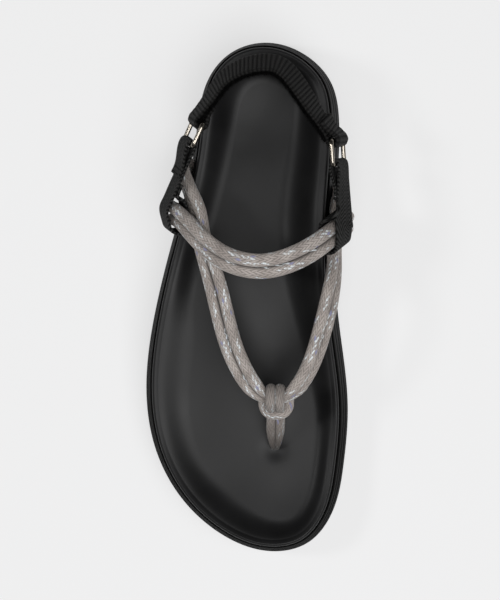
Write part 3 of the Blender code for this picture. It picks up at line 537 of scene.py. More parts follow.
def bedValue(row, along):
    # One row of bedLine as a natural cubic of the share along
    return naturalCurve(bedLine["along"], np.array(bedLine[row])[:, None], along.ravel())[:, 0]


def bedTop(y):
    # Height of the bed's middle line
    along = np.clip(alongOf(y), 0, 1)
    return bedValue("height", along).reshape(along.shape) * sole["bedHeight"]


def middleOf(y):
    # The middle line's points beside the places y, none past its two ends
    along = np.clip(alongOf(y), *sole["spineEnds"])
    return place(along, bedValue("middle", along))[:, :2]


lipTop = bedTop(edge[:, 1]) + edge[:, 2]
spine = middleOf(edge[:, 1])


def inset(distance):
    # The edge moved inwards, square to itself
    return edge[:, :2] + edgeInward * np.broadcast_to(distance, len(edge))[:, None]


def ring(distance, height):
    # The edge moved inwards, at one height or one for each point
    return np.column_stack([inset(distance), np.broadcast_to(height, len(edge))])


# soft hollows and swells of the footbed: along, across, half length, half width, height
bedRelief = [
    (0.150, 0.083, 0.085, 0.210, -0.0022),  # heel cup
    (0.700, -0.250, 0.100, 0.140, -0.0006),  # under the small toes' joints
    (0.700, 0.240, 0.095, 0.130, -0.0007),  # under the big toe's joint
    (0.545, 0.020, 0.060, 0.170, 0.0007),  # swell behind the toes' joints
    (0.885, 0.210, 0.055, 0.110, -0.0006),  # big toe
    (0.870, -0.140, 0.050, 0.150, -0.0004),  # small toes
]


def reliefAt(x, y):
    # Sum of bells: height * exp(-(distance / half size) squared)
    total = np.zeros(np.broadcast(x, y).shape)
    for along, across, halfLong, halfWide, height in bedRelief:
        far = ((alongOf(y) - along) / halfLong) ** 2 + ((x / shoe["ballWidth"] - across) / halfWide) ** 2
        total += height * np.exp(-far)
    return total


def bedRings(drop, slopeSteps, flatSteps, relief=1.0):
    # From the lip down a smooth slope and across the bed to its middle line. With s from 0 to 1 across the
    # slope, the height falls as (1 - s) to the power slopeFall times (1 + slopeFall s). Beside the small toes
    # the slope is toeReach wider, faded in by one tanh across and one along.
    lateral = 0.5 - 0.5 * np.tanh((edge[:, 0] - spine[:, 0]) / sole["wideSide"])
    front = 0.5 + 0.5 * np.tanh((alongOf(edge[:, 1]) - sole["wideStart"]) / sole["wideFade"])
    start, wide = sole["lipInset"] + sole["lipWidth"], edge[:, 3] * (1 + sole["toeReach"] * lateral * front)
    tall, power = edge[:, 2] - sole["lipHeight"] * sole["lipCrease"], sole["slopeFall"]
    rings = []
    for share in np.linspace(0, 1, slopeSteps + 1):
        flat = inset(start + share * wide)
        height = bedTop(flat[:, 1]) + tall * ((1 - share) ** power * (1 + power * share))
        height = height + relief * reliefAt(*flat.T) * share ** 2
        rings.append(np.column_stack([flat, height - drop]))
    foot = inset(start + wide)
    for share in np.linspace(0, sole["nearMiddle"], flatSteps + 1)[1:]:
        flat = foot * (1 - share) + spine * share
        rings.append(np.column_stack([flat, bedTop(flat[:, 1]) + relief * reliefAt(*flat.T) - drop]))
    return rings


def flatRings(distance, lift, steps):
    # From an inset edge to the middle line, at a height above the underside
    rims = inset(distance)
    rings = []
    for share in np.linspace(0, sole["nearMiddle"], steps + 1):
        flat = rims * (1 - share) + spine * share
        rings.append(np.column_stack([flat, underside(flat[:, 1]) + lift]))
    return rings


def addQuads(shape, quads):
    # More faces between the same points, with no place on the UV map
    shape["quads"] = np.concatenate([shape["quads"], quads])
    shape["quadUv"] = np.concatenate([shape["quadUv"], np.zeros((len(quads), 4, 2))])


def soleShape(rings):
    # Rings from the middle of the underside over the edge to the middle of the top, both ends zipped shut
    points = np.stack(rings)
    rows, columns = points.shape[:2]
    u = np.linspace(0, 1, columns + 1)
    v = np.linspace(0, 1, rows)
    shape = gridShape(points, gridMap(u, v), caps=False)
    i = np.arange(1, columns // 2 - 1)
    ends = []
    for row, turn in ((0, -1), (rows - 1, 1)):
        first = row * columns
        quads = np.stack([first + i, first + i + 1, first + columns - i - 1, first + columns - i], axis=1)
        ends.append(quads[:, ::turn])
    half = columns // 2
    tips = []
    for row, turn in ((0, -1), (rows - 1, 1)):
        first = row * columns
        tips.append([first, first + 1, first + columns - 1][::turn])
        tips.append([first + half, first + half + 1, first + half - 1][::turn])
    addQuads(shape, np.concatenate(ends))
    shape["tris"] = np.array(tips)
    shape["triUv"] = np.zeros((len(tips), 3, 2))
    return shape


def outwards(piece):
    # Turns the faces out where the mesh came out inside out
    mesh = piece.data
    mesh.calc_loop_triangles()
    corners = np.empty(len(mesh.loop_triangles) * 3, np.int32)
    mesh.loop_triangles.foreach_get("vertices", corners)
    points = np.empty(len(mesh.vertices) * 3)
    mesh.vertices.foreach_get("co", points)
    a, b, c = np.moveaxis(points.reshape(-1, 3)[corners.reshape(-1, 3)], 1, 0)
    if np.sum(a * np.cross(b, c)) < 0:
        mesh.flip_normals()


# the rounded edges: how far in, and how far above the lower or below the upper end of the side
outsole = dict(lowerEdge=[(0.0010, 0.0004), (0.0005, 0.0010), (0.0001, 0.0020), (0.0, 0.0030)],
               upperEdge=[(0.0, 0.0016), (0.00015, 0.0009), (0.0005, 0.0003), (0.0009, 0.0)],
               undersideInset=0.0018, topInset=0.0014)
# spans are the shares along that have grooves
treads = dict(depth=0.0025, rim=0.010, gap=0.003, pitch=0.0115, chevron=0.006, edge=0.0009, steps=70,
              nearMiddle=0.985, spans=((0.07, 0.30), (0.50, 0.93)))


def treadCut(x, y, medialEdge, lateralEdge):
    # 1 inside a chevron groove and 0 outside it and on the rim, with soft edges. A chevron is a line across,
    # moved back at both sides by its distance from the middle.
    middle = (medialEdge + lateralEdge) / 2
    half = np.maximum((medialEdge - lateralEdge) / 2, 1e-4)
    bent = y - treads["chevron"] * (np.abs(x - middle) / half - 1)
    total = np.zeros_like(x)
    for start, end in treads["spans"]:
        count = int((end - start) * shoe["length"] / treads["pitch"])
        for at in start + (np.arange(count) + 0.5) / count * (end - start):
            far = np.abs(bent - (0.5 - at) * shoe["length"]) - treads["gap"] / 2
            total = np.maximum(total, np.clip(0.5 - far / treads["edge"], 0, 1))
    return total * np.clip((half - np.abs(x - middle)) / treads["edge"], 0, 1)


def undersideRings():
    # From the underside's edge to the middle line, with the grooves pressed in
    rims = inset(outsole["undersideInset"])
    half = len(edge) // 2
    limit = inset(treads["rim"])
    lateral, medial = limit[:half + 1], np.concatenate([limit[half:], limit[:1]])[::-1]
    rings = []
    for share in np.linspace(0, treads["nearMiddle"], treads["steps"] + 1):
        flat = rims * (1 - share) + spine * share
        low = np.interp(-flat[:, 1], -lateral[:, 1], lateral[:, 0])
        high = np.interp(-flat[:, 1], -medial[:, 1], medial[:, 0])
        cut = treadCut(flat[:, 0], flat[:, 1], high, low)
        rings.append(np.column_stack([flat, underside(flat[:, 1]) + treads["depth"] * cut]))
    return rings


def makeOutsole():
    # The underside, the side with its rounded edges, and the flat top
    base, top = underside(edge[:, 1]), sole["outsoleEdge"]
    side = [ring(inward, base + above) for inward, above in outsole["lowerEdge"]]
    side += [ring(inward, base + top - below) for inward, below in outsole["upperEdge"]]
    rings = undersideRings()[::-1] + side + flatRings(outsole["topInset"], top, 3)
    outwards(meshPiece("outsoleRubber", soleShape(rings), rubber, ["outsole"]))


def dimples(points, normalIn, centres, radius, depth):
    # Pulls points inwards round each centre by a bell, where a rope goes in
    for centre in centres:
        far = np.linalg.norm(points - centre, axis=-1)
        points = points + normalIn * (depth * np.exp(-(far / radius) ** 2))[..., None]
    return points


midsole = dict(levels=40, sideInset=0.0004, baseInset=0.0012, grooveAt=0.93, grooveWide=0.055, lowest=0.2,
               swell=0.00025, swellEnd=0.86, ridgeLift=0.0002, ridgeWide=0.0004, grooveRound=0.0004,
               grooveRoom=0.0001, dimpleWide=0.0042, dimpleDeep=0.0012, bedSteps=(8, 8))


def makeMidsole(entries):
    # Leaning side with rounded ribs, each a half sine with a bell-shaped groove above it, then the ridge and
    # the groove outside the footbed's lip
    low = underside(edge[:, 1]) + sole["outsoleEdge"] + sole["gap"]
    high = lipTop - sole["lipHeight"]
    side = []
    for level in np.linspace(0, 1, midsole["levels"]):
        share = (level * sole["ribs"]) % 1.0
        above = np.exp(-((share - midsole["grooveAt"]) / midsole["grooveWide"]) ** 2)
        below = np.exp(-((share + 1 - midsole["grooveAt"]) / midsole["grooveWide"]) ** 2)
        groove = above + below * (level > midsole["lowest"])
        swell = midsole["swell"] * math.sin(math.pi * min(share / midsole["swellEnd"], 1.0))
        depth = level * sole["ridgeInset"] + midsole["sideInset"] + groove * sole["ribDepth"] - swell
        side.append(ring(depth, low + level * (high - low)))
    inward = np.column_stack([edgeInward, np.zeros(len(edge))])
    side = [dimples(points, inward, entries, midsole["dimpleWide"], midsole["dimpleDeep"]) for points in side]
    ridgeInset, ridgeTop = sole["ridgeInset"] + midsole["ridgeLift"], high + midsole["ridgeLift"]
    grooveBottom = high - sole["grooveDepth"] - sole["gap"]
    ridge = [ring(ridgeInset, ridgeTop), ring(ridgeInset + midsole["ridgeWide"], ridgeTop),
             ring(sole["lipInset"] - midsole["grooveRound"], high - midsole["grooveRound"]),
             ring(sole["lipInset"] - midsole["grooveRoom"], grooveBottom)]
    base = flatRings(midsole["baseInset"], sole["outsoleEdge"] + sole["gap"], 4)
    top = bedRings(sole["bedThickness"] + sole["gap"], *midsole["bedSteps"], relief=0.0)
    rings = base[::-1] + side + ridge + top
    outwards(meshPiece("midsoleFoam", soleShape(rings), foam, ["midsole"]))


footbed = dict(seamInset=0.0004, lipRound=0.55, lipAngles=(-35, 90), lipSteps=9, dimpleWide=0.0048,
               dimpleDeep=0.0016, topSteps=(20, 26), underSteps=(6, 6))


def makeFootbed(post):
    # Rolled lip as part of a circle, then the slope and the bed, pulled down round the post by a bell
    inner, tall = sole["lipInset"], sole["lipHeight"]
    wide, high = sole["lipWidth"] * footbed["lipRound"], tall * footbed["lipRound"]
    lip = [ring(inner + footbed["seamInset"], lipTop - tall - sole["grooveDepth"])]
    for angle in np.radians(np.linspace(*footbed["lipAngles"], footbed["lipSteps"])):
        lip.append(ring(inner + wide * (1 - math.cos(angle)), lipTop - high * (1 - math.sin(angle))))
    top = []
    for points in bedRings(0.0, *footbed["topSteps"]):
        far = np.linalg.norm(points[:, :2] - post[:2], axis=1)
        down = footbed["dimpleDeep"] * np.exp(-(far / footbed["dimpleWide"]) ** 2)
        top.append(points - np.outer(down, [0, 0, 1]))
    under = bedRings(sole["bedThickness"], *footbed["underSteps"], relief=0.0)
    rings = under[::-1] + lip + top
    outwards(meshPiece("footbedCover", soleShape(rings), cover, ["footbed"]))


# Ropes

# nip and clear are the distance between a pair's ropes, in diameters, in the CAD and here; thin and bandGrow
# are sizes, in the CAD's; sink, midDepth and midSink are shares of depth and bend on the way into the sole;
# squeeze and reach are for the stretch inside the knot
rope = dict(wide=0.0061, nip=0.94, clear=1.03, thin=0.955, bandGrow=1.10, growFrom=0.03, growOver=0.03,
            depth=0.009, entryHeight=0.0165, bend=0.0085, hug=0.0012, sink=0.35, midDepth=0.45,
            midSink=0.12, turnHigh=0.25, squeeze=0.64,
            reach=0.009, knotReach=0.02, wave=0.00025, waveLength=0.021, columns=56, step=0.0006,
            relief=0.060, reliefLevel=0.6, lay=0.046, strands=ropeLook["strands"], tipAlong=(0.50, 0.69),
            tipSlope=(0.55, 1.9))
toeLoop = dict(
    along=[0.318, 0.345, 0.374, 0.402, 0.440, 0.506, 0.579, 0.653, 0.682, 0.6896, 0.690,
           0.6896, 0.682, 0.653, 0.579, 0.497, 0.437, 0.375, 0.334, 0.305, 0.283, 0.264],
    across=[0.440, 0.430, 0.427, 0.425, 0.425, 0.402, 0.356, 0.278, 0.216, 0.181, 0.145,
            0.109, 0.073, 0.012, -0.071, -0.121, -0.162, -0.208, -0.225, -0.256, -0.280, -0.301],
    up=[0.375, 0.415, 0.435, 0.482, 0.578, 0.713, 0.700, 0.643, 0.621, 0.612, 0.6115,
        0.612, 0.621, 0.643, 0.705, 0.775, 0.790, 0.727, 0.655, 0.590, 0.522, 0.440],
    ends=dict(medial=0.304, lateral=0.250), standoff=dict(medial=0.0036, lateral=0.0023))
instepBand = dict(
    along=[0.354, 0.356, 0.362, 0.376, 0.400, 0.423, 0.436, 0.424, 0.391, 0.348, 0.336, 0.335],
    across=[0.486, 0.482, 0.460, 0.416, 0.338, 0.230, 0.091, -0.067, -0.193, -0.303, -0.348, -0.360],
    up=[0.400, 0.500, 0.605, 0.722, 0.862, 0.958, 1.000, 0.955, 0.838, 0.670, 0.530, 0.410],
    ends=dict(medial=0.354, lateral=0.338), standoff=dict(medial=0.0048, lateral=0.0014))
knot = int(np.argmax(toeLoop["along"]))  # the post hangs where the toe loop bends
knotPlace = place(toeLoop["along"][knot], toeLoop["across"][knot], toeLoop["up"][knot])


def wallEntry(side, row):
    # A rope's way into the midsole's side, from inside its hole to above it
    half, along = sole["around"] // 2, row["ends"][side]
    index = np.arange(half + 1) if side == "lateral" else np.append(np.arange(half, sole["around"]), 0)
    nearest = index[np.argmin(np.abs(alongOf(edge[index, 1]) - along))]
    outward = np.append(-edgeInward[nearest], 0)
    y = (0.5 - along) * shoe["length"]
    x = edge[nearest, 0] + (y - edge[nearest, 1]) * edgeTangent[nearest, 0] / edgeTangent[nearest, 1]
    wall, rise = np.array([x, y, rope["entryHeight"]]), np.array([0, 0, rope["bend"]])
    deep, standoff = outward * rope["depth"], row["standoff"][side]
    points = [wall - deep - rise * rope["sink"], wall - deep * rope["midDepth"] - rise * rope["midSink"],
              wall + outward * (standoff - rope["hug"]) + rise * rope["sink"],
              wall + outward * standoff + rise]
    return np.array(points), wall


def pairRoute(row):
    # A table's points between its two ways into the midsole
    first, last = wallEntry("medial", row)[0], wallEntry("lateral", row)[0]
    return np.concatenate([first, place(row["along"], row["across"], row["up"]), last[::-1]])


def footNormal(points):
    # Out of the foot: from a core line above the bed, tipped forwards as the instep slopes
    along = np.clip(alongOf(points[:, 1]), 0, 1)
    core = bedValue("middle", along) * shoe["ballWidth"]
    rise = points[:, 2] - sole["bedHeight"]
    slope = np.interp(along, rope["tipAlong"], rope["tipSlope"])
    return unit(np.stack([points[:, 0] - core, -slope * rise, rise], axis=1))


def braidHeight(u, v, strands):
    # The braid's relief from 0 to 1: rounded strands of two families, over two and under two, as in the
    # braid node group
    a, b = (u + v) * strands, (u - v) * strands
    over = np.mod(np.floor(a) + np.floor(b), 4) < 1.5
    across = np.where(over, np.mod(a, 1), np.mod(b, 1)) - 0.5
    return np.sqrt(np.clip(braidYarns["crown"] - across ** 2, 0, None)) / braidYarns["top"]


def ropeShape(path, side, up, radius, flat=1.0, lay=rope["lay"], seam=0.0):
    # A circle of the rope's radius plus the braid's relief, flattened and carried along the path. The map's
    # u = 0, where the braid paints its seam shade, is turned from the side by the angle of the seam.
    u = np.linspace(0, 1, rope["columns"] + 1)
    v = walkedLength(path) / lay
    grid = np.broadcast_arrays(u[None], v[:, None])
    relief = braidHeight(grid[0][:, :-1], grid[1][:, :-1], rope["strands"])
    size = np.broadcast_to(radius, len(path))[:, None] * (1 + rope["relief"] * (relief - rope["reliefLevel"]))
    angle = u[None, :-1] * 2 * math.pi + seam
    flat = np.broadcast_to(flat, len(path))[:, None]
    profile = np.stack([size * np.cos(angle), size * np.sin(angle) * flat], axis=-1)
    return carried(path, side, up, profile, np.stack(grid, axis=-1))


def pairShapes(row, grow=1.0, squeeze=1.0):
    # Two ropes on both sides of a path, level at its ends and along the foot's skin above them. In the knot
    # they shrink by exp(-(distance / reach) to the power 4), and away from it they wave a little.
    path = smoothPath(pairRoute(row), rope["step"])
    off = np.abs(path[:, 0] - knotPlace[0]) / rope["reach"]
    near = np.where(np.abs(path[:, 1] - knotPlace[1]) < rope["knotReach"], np.exp(-off ** 4), 0)
    forward = tangents(path)
    turnHeight = rope["turnHigh"] * shoe["instepHeight"]
    high = np.clip((path[:, 2:] - rope["entryHeight"]) / turnHeight, 0, 1) ** 2
    across = np.cross(forward, footNormal(path)) * high + np.array([[0, 1.0, 0]]) * (1 - high)
    across = unit(across - forward * np.sum(across * forward, axis=1, keepdims=True))
    out = np.cross(across, forward)
    scale = 1 - (1 - squeeze) * near
    grown = 1 + (grow - 1) * np.clip((path[:, 2] - rope["growFrom"]) / rope["growOver"], 0, 1)
    walked = walkedLength(path)
    half = rope["wide"] * rope["thin"] / 2
    shapes = []
    for sign in (1, -1):
        wave = rope["wave"] * np.sin(walked / rope["waveLength"] + sign) * (scale > 0.99)
        apart = half * rope["clear"] * scale * grown
        line = path + across * (sign * apart)[:, None] + out * wave[:, None]
        shapes.append(ropeShape(line, across, out, half * scale * grown, seam=math.pi * (sign > 0)))
    return shapes


# squeeze is the size of the ropes at the foot, taper the share of the height where they narrow, and roundUp
# how much less flat they are above it
post = dict(wide=0.0048, flat=0.62, roundUp=0.12, depth=0.0085, room=0.0013, footAlong=0.7995,
            footAcross=0.132, squeeze=0.46, taper=0.42, step=0.0004, lay=0.060)
# half of the crossing loop, from under the toe loop to the front: sideways and outwards in the rope's widths,
# and degrees round the toe loop
bight = dict(side=[0.47, 0.95, 1.30, 1.27, 0.80, 0.00], turn=[-90, -115, -150, -187, -207, -213],
             reach=[1.04, 1.10, 1.30, 1.60, 1.80, 1.86])


def arc(centre, first, second, radius, start, end, steps):
    # Points of a circle, from start to end degrees, turning from the first way to the second
    angles = np.radians(np.linspace(start, end, steps))[:, None]
    return centre + radius * (np.cos(angles) * first + np.sin(angles) * second)


def postFrame():
    # At the knot: across the toe loop's pair, out of it, half the pair's distance, and the post's radius
    out = unit(footNormal(knotPlace[None])[0] * np.array([0, 1, 1]))
    half = rope["wide"] * rope["squeeze"] / 2 * rope["nip"]
    radius = (rope["wide"] * rope["squeeze"] + post["wide"] * post["flat"]) / 2 + post["room"]
    return np.array([0, out[2], -out[1]]), out, half, radius


def postFoot():
    # Where the post goes down into the bed
    y = (0.5 - post["footAlong"]) * shoe["length"]
    return np.array([post["footAcross"] * shoe["ballWidth"], y, float(bedTop(y))])


def postShapes():
    # The doubled rope: up from the sole, over the toe loop, behind it and back underneath
    across, out, half, radius = postFrame()
    foot, left, right = postFoot(), knotPlace - across * half, knotPlace + across * half
    turn = np.concatenate([arc(left, across, out, radius, 185, 90, 5),
                           arc(right, across, out, radius, 90, -90, 8), [left - out * radius]])
    top, down = turn[0], np.array([0, 0, -1.0])
    lean, deep = unit(top - foot), down * post["depth"]
    below = [foot + deep, foot + deep * 0.4 + lean * 0.0005, foot + lean * 0.004,
             foot * 0.55 + top * 0.45, foot * 0.2 + top * 0.8 + down * 0.0006]
    path = smoothPath(np.concatenate([below, turn]), post["step"])
    forward = tangents(path)
    side = np.tile([1.0, 0, 0], (len(path), 1))
    up = unit(np.cross(side, forward))
    side = unit(np.cross(forward, up))
    rise = np.clip((path[:, 2] - foot[2]) / (post["taper"] * (top[2] - foot[2])), 0, 1)
    scale, flat = post["squeeze"] + (1 - post["squeeze"]) * rise, post["flat"] + post["roundUp"] * rise
    shapes = []
    for sign in (1, -1):
        line = path + side * (sign * post["wide"] / 2 * rope["nip"] * scale)[:, None]
        radius = post["wide"] / 2 * scale
        shapes.append(ropeShape(line, side, up, radius, flat, post["lay"], math.pi * (sign > 0)))
    return shapes


def bightShape():
    # The loop that crosses in front of the post: the table's half and its mirror image
    across, out, half = postFrame()[:3]
    sides = np.array(bight["side"] + bight["side"][-2::-1])
    sides[len(bight["side"]):] *= -1
    turns = np.radians(np.array(bight["turn"] + bight["turn"][-2::-1]))[:, None]
    reach = np.array(bight["reach"] + bight["reach"][-2::-1])[:, None] * post["wide"]
    points = (knotPlace - across * half + sides[:, None] * post["wide"] * np.array([1.0, 0, 0])
              + reach * (across * np.cos(turns) + out * np.sin(turns)))
    line = smoothPath(points, post["step"])
    ahead = tangents(line)
    sideways = unit(np.cross(ahead, out + across * 0.5))
    return ropeShape(line, sideways, unit(np.cross(sideways, ahead)), post["wide"] / 2, seam=-math.pi / 2)


# Straps and rings

strap = dict(width=0.016, heelThick=0.0024, tabThick=0.0014, wire=0.0023, ringGap=0.0100, play=0.0008,
             corner=0.0024, foldLength=0.005, foldStart=0.006, loopClose=0.0026, loopLap=0.003, step=0.0003,
             bandStep=0.001, heelStep=0.004, turnSteps=9, ringSlope=4, gap=0.0003, cornerSteps=14,
             wireColumns=24, selvedge=0.0012)
tabRoom = dict(medial=0.0011, lateral=0.0012)  # between a tab's loop and the ropes in it
tabPlace = dict(medial=0.690, lateral=0.560)  # height of the loop, share of the instep height
tabFold = dict(medial=0.005, lateral=0.005)  # the folded end past the ring
ringTurn = dict(medial=4, lateral=25)  # degrees that a ring toes outwards
heelBand = dict(
    along=[0.197, 0.169, 0.1335, 0.0846, 0.0558, 0.0530, 0.0645, 0.0855, 0.1148, 0.1565],
    across=[0.413, 0.376, 0.318, 0.236, 0.150, 0.090, -0.029, -0.109, -0.163, -0.244],
    up=[0.660, 0.672, 0.700, 0.735, 0.750, 0.753, 0.730, 0.700, 0.675, 0.660],
    lean=[16, 21, 27, 32, 34, 35, 32, 28, 24, 20])


def heelWrap():
    # From the middle of a ring's bar to the middle of the heel strap round it
    return (strap["wire"] + strap["heelThick"]) / 2 + strap["gap"]


def ringFrame(side):
    # Middle of a ring, its way forward, its bar's way up and its way out
    row, sign = (0, 1) if side == "medial" else (-1, -1)
    turn, drop, lean = (math.radians(v) for v in (ringTurn[side], strap["ringSlope"], heelBand["lean"][row]))
    forward = unit([sign * math.sin(turn), -math.cos(turn), -math.tan(drop)])
    level = unit(np.cross(forward, [0, 0, 1])) * -sign
    level = level * np.sign(level[0] * sign)
    bar = unit(np.array([0, 0, math.cos(lean)]) - level * math.sin(lean))
    bar = unit(bar - forward * np.dot(bar, forward))
    out = unit(np.cross(forward, bar))
    out = out * np.sign(out[0] * sign)
    start = place(heelBand["along"][row], heelBand["across"][row], heelBand["up"][row])
    centre = start + forward * (strap["ringGap"] + strap["wire"]) / 2 + out * sign * heelWrap()
    return centre, forward, bar, out


def makeRing(side):
    # Round wire carried along a rounded rectangle
    centre, forward, bar, out = ringFrame(side)
    halfLong = (strap["ringGap"] + strap["wire"]) / 2 - strap["corner"]
    halfHigh = strap["width"] / 2 + strap["play"] + strap["wire"] / 2 - strap["corner"]
    corners = []
    for quarter, (f, b) in enumerate([(1, 1), (-1, 1), (-1, -1), (1, -1)]):
        middle = centre + forward * f * halfLong + bar * b * halfHigh
        start = quarter * 90
        corners.append(arc(middle, forward, bar, strap["corner"], start, start + 90, strap["cornerSteps"]))
    points = np.concatenate(corners)
    ahead = unit(np.roll(points, -1, axis=0) - np.roll(points, 1, axis=0))
    sideways = unit(np.cross(ahead, out))
    columns, rows = strap["wireColumns"], len(points)
    angle = np.linspace(0, 2 * math.pi, columns, endpoint=False)
    rings = points[:, None] + (np.cos(angle)[None, :, None] * sideways[:, None]
                               + np.sin(angle)[None, :, None] * out) * strap["wire"] / 2
    u, v = np.linspace(0, 1, columns + 1), np.linspace(0, 1, rows + 1)[:-1]
    shape = gridShape(rings, gridMap(u, v), caps=False)
    # the last row joins the first
    i = np.arange(columns)
    j, last = (i + 1) % columns, (rows - 1) * columns
    addQuads(shape, np.stack([last + i, last + j, j, i], axis=1))
    outwards(meshPiece(f"{side}RingWire", shape, metal, [f"{side}_ring"]))


def hug(centre, first, second, radius, before, after, steps):
    # Arc from where the line from the point before touches the circle to where the line to the one after does
    ends = []
    for point, way in ((before, 1), (after, -1)):
        x, y = np.dot(point - centre, first), np.dot(point - centre, second)
        ends.append(math.degrees(math.atan2(y, x) + way * math.acos(radius / math.hypot(x, y))))
    return arc(centre, first, second, radius, ends[0], ends[1] % 360, steps)


def strapShape(points, ways, thickness, look):
    # A flat band with half-round selvedges, carried along the points and turned as their ways say. Its faces
    # rise and fall with the ribs, which fade out at the selvedges.
    points, ways = np.asarray(points, float), np.asarray(ways, float)
    walked = walkedLength(points)
    places = np.linspace(0, walked[-1], round(walked[-1] / strap["step"]) + 1)
    path = naturalCurve(walked, points, places)
    side = np.stack([np.interp(places, walked, ways[:, c]) for c in range(3)], axis=1)
    forward = tangents(path)
    side = unit(side - forward * np.sum(side * forward, axis=1, keepdims=True))
    up = np.cross(forward, side)
    faceColumns, half = look["columns"], strap["width"] / 2 - thickness / 2
    across = np.linspace(1, -1, faceColumns)
    turn = np.radians(np.linspace(90, -90, 7)[1:-1])
    x = np.concatenate([across * half, -half - np.cos(turn) * thickness / 2, -across * half,
                        half + np.cos(turn) * thickness / 2])
    z = np.concatenate([np.full(faceColumns, 1.0), np.sin(turn), np.full(faceColumns, -1.0), -np.sin(turn)])
    ribs = look["ribs"](places[:, None], x[None])
    edges = np.clip((strap["width"] / 2 - np.abs(x)) / strap["selvedge"], 0.35, 1)
    onFace = np.abs(z) > 0.99
    rise = np.sign(z[None]) * (ribs - look["mean"]) * look["rise"] * edges * onFace
    thick = z[None] * thickness / 2 + rise
    profile = np.stack([np.broadcast_to(x, thick.shape), thick], axis=-1)
    # the map counts threads, across from the middle of the band and along from its start
    u = np.append(x, x[0]) / look["thread"]
    v = places / look["thread"]
    return carried(path, side, up, profile, gridMap(u, v)), path, side, up, places


def crossRibs(pitch):
    # Ribs across the band: the height of a sine along it, to the power 0.6 so that they are plump
    return lambda s, x: np.abs(np.sin(s / pitch * math.pi)) ** 0.6 + 0 * x


def webbingRibs(pitch):
    # Cords along the band and finer picks across it, each the height of a sine
    def height(s, x):
        cords, picks = np.abs(np.sin(x / pitch * math.pi)), np.abs(np.sin(s / pitch * 1.3 * math.pi))
        return 0.6 * cords + 0.4 * picks

    return height


def bandFrame(side):
    # The instep band where a tab loops round it: middle, way down along the ropes, way back and way out
    path = smoothPath(pairRoute(instepBand), strap["bandStep"])
    half = len(path) // 2
    path = path[:half] if side == "medial" else path[half:]
    nearest = path[np.argmin(np.abs(path[:, 2] - tabPlace[side] * shoe["instepHeight"]))]
    under = path[np.linalg.norm(path - nearest, axis=1) < strap["width"] / 2]
    middle = (under.mean(axis=0) + nearest) / 2
    down = unit(under[-1] - under[0])
    down = down if down[2] < 0 else -down
    normal = footNormal(middle[None])[0]
    back = unit(np.cross(down, normal))
    back = back if back[1] > 0 else -back
    out = unit(np.cross(down, back))
    out = out if np.dot(out, normal) > 0 else -out
    return middle, down, back, out


def tabRoute(side):
    # Webbing from its loop round the instep band to its fold round the ring
    middle, down, back, out = bandFrame(side)
    centre, forward, bar, ringOut = ringFrame(side)
    thickness, layer = strap["tabThick"], strap["tabThick"] + strap["gap"]
    face = -1 if side == "lateral" else 1
    half = rope["wide"] / 2 * rope["nip"] + tabRoom[side]
    radius = rope["wide"] / 2 + tabRoom[side] + thickness / 2
    wrap = strap["wire"] / 2 + strap["gap"] + thickness / 2
    barPlace = centre + forward * (strap["ringGap"] + strap["wire"]) / 2
    start = middle + back * half + out * radius
    join = barPlace + ringOut * wrap * face + forward * strap["foldStart"]
    length = np.linalg.norm(join - start)
    shares = np.linspace(0, 1, 8)[:, None]
    runWay = unit(-down * (1 - shares) + bar * shares)
    runOut = unit(np.cross((start - join) / length, runWay))
    runOut = runOut * np.sign(np.dot(runOut[0], out))

    def lie(places, towards):
        at = np.asarray(places)[:, None] / length
        lean = unit(runOut[:1] * (1 - at) + runOut[-1:] * at)
        return start + (join - start) * at + lean * layer * towards, unit(-down * (1 - at) + bar * at)

    reach = half + radius + strap["loopClose"]
    inner, innerWay = lie([reach + strap["loopLap"], reach], -1)
    loop = np.concatenate([arc(middle + back * half, back, -out, radius, 20, 90, 5),
                           arc(middle - back * half, -out, -back, radius, 0, 180, 11)])
    turn = arc(barPlace, ringOut * face, -forward, wrap, 0, 180, strap["turnSteps"])
    close = length - strap["foldStart"]
    end, endWay = lie([close, close - tabFold[side]], -face)
    points = np.concatenate([inner, loop, start + (join - start) * shares, turn, end])
    loopWay, turnWay = np.tile(-down, (len(loop), 1)), np.tile(bar, (len(turn), 1))
    return points, np.concatenate([innerWay, loopWay, runWay, turnWay, endWay])


# rows are the places of the stitch rows, from the fold's two ends and from the loop's; seat is how deep they
# stand in the ribs, and sides and steps count their points
stitches = dict(span=0.0136, long=0.0011, rise=0.00022, sink=0.00006, thread=0.00032, count=9, sides=6,
                steps=6, seat=0.4, foldRow=0.0012, loopRow=0.0008, lapRow=0.0002)
tabLook = dict(columns=30, ribs=webbingRibs(0.0011), mean=0.5, rise=0.00018, thread=0.00050)


def stitchRow(centre, side, up, forward):
    # Short stitches in a row across a band: round threads bowed out of the cloth as a parabola, thin at both
    # ends
    count, sides, steps = stitches["count"], stitches["sides"], stitches["steps"]
    angle = np.linspace(0, 2 * math.pi, sides, endpoint=False)
    section = np.stack([np.cos(angle), np.sin(angle)], axis=-1) * stitches["thread"] / 2
    t = np.linspace(-1, 1, steps)[:, None]
    profile = np.broadcast_to(section, (steps, sides, 2)) * np.sqrt(np.clip(1.05 - t ** 2, 0.1, 1))[:, None]
    bow = up * (stitches["rise"] * (1 - t ** 2) - stitches["sink"])
    shapes = []
    for at in ((np.arange(count) + 0.5) / count - 0.5) * stitches["span"]:
        line = centre + side * (at + t * stitches["long"] / 2) + bow
        shapes.append(carried(line, np.tile(forward, (steps, 1)), np.tile(up, (steps, 1)), profile,
                              np.zeros((steps, sides + 1, 2))))
    return joined(shapes)


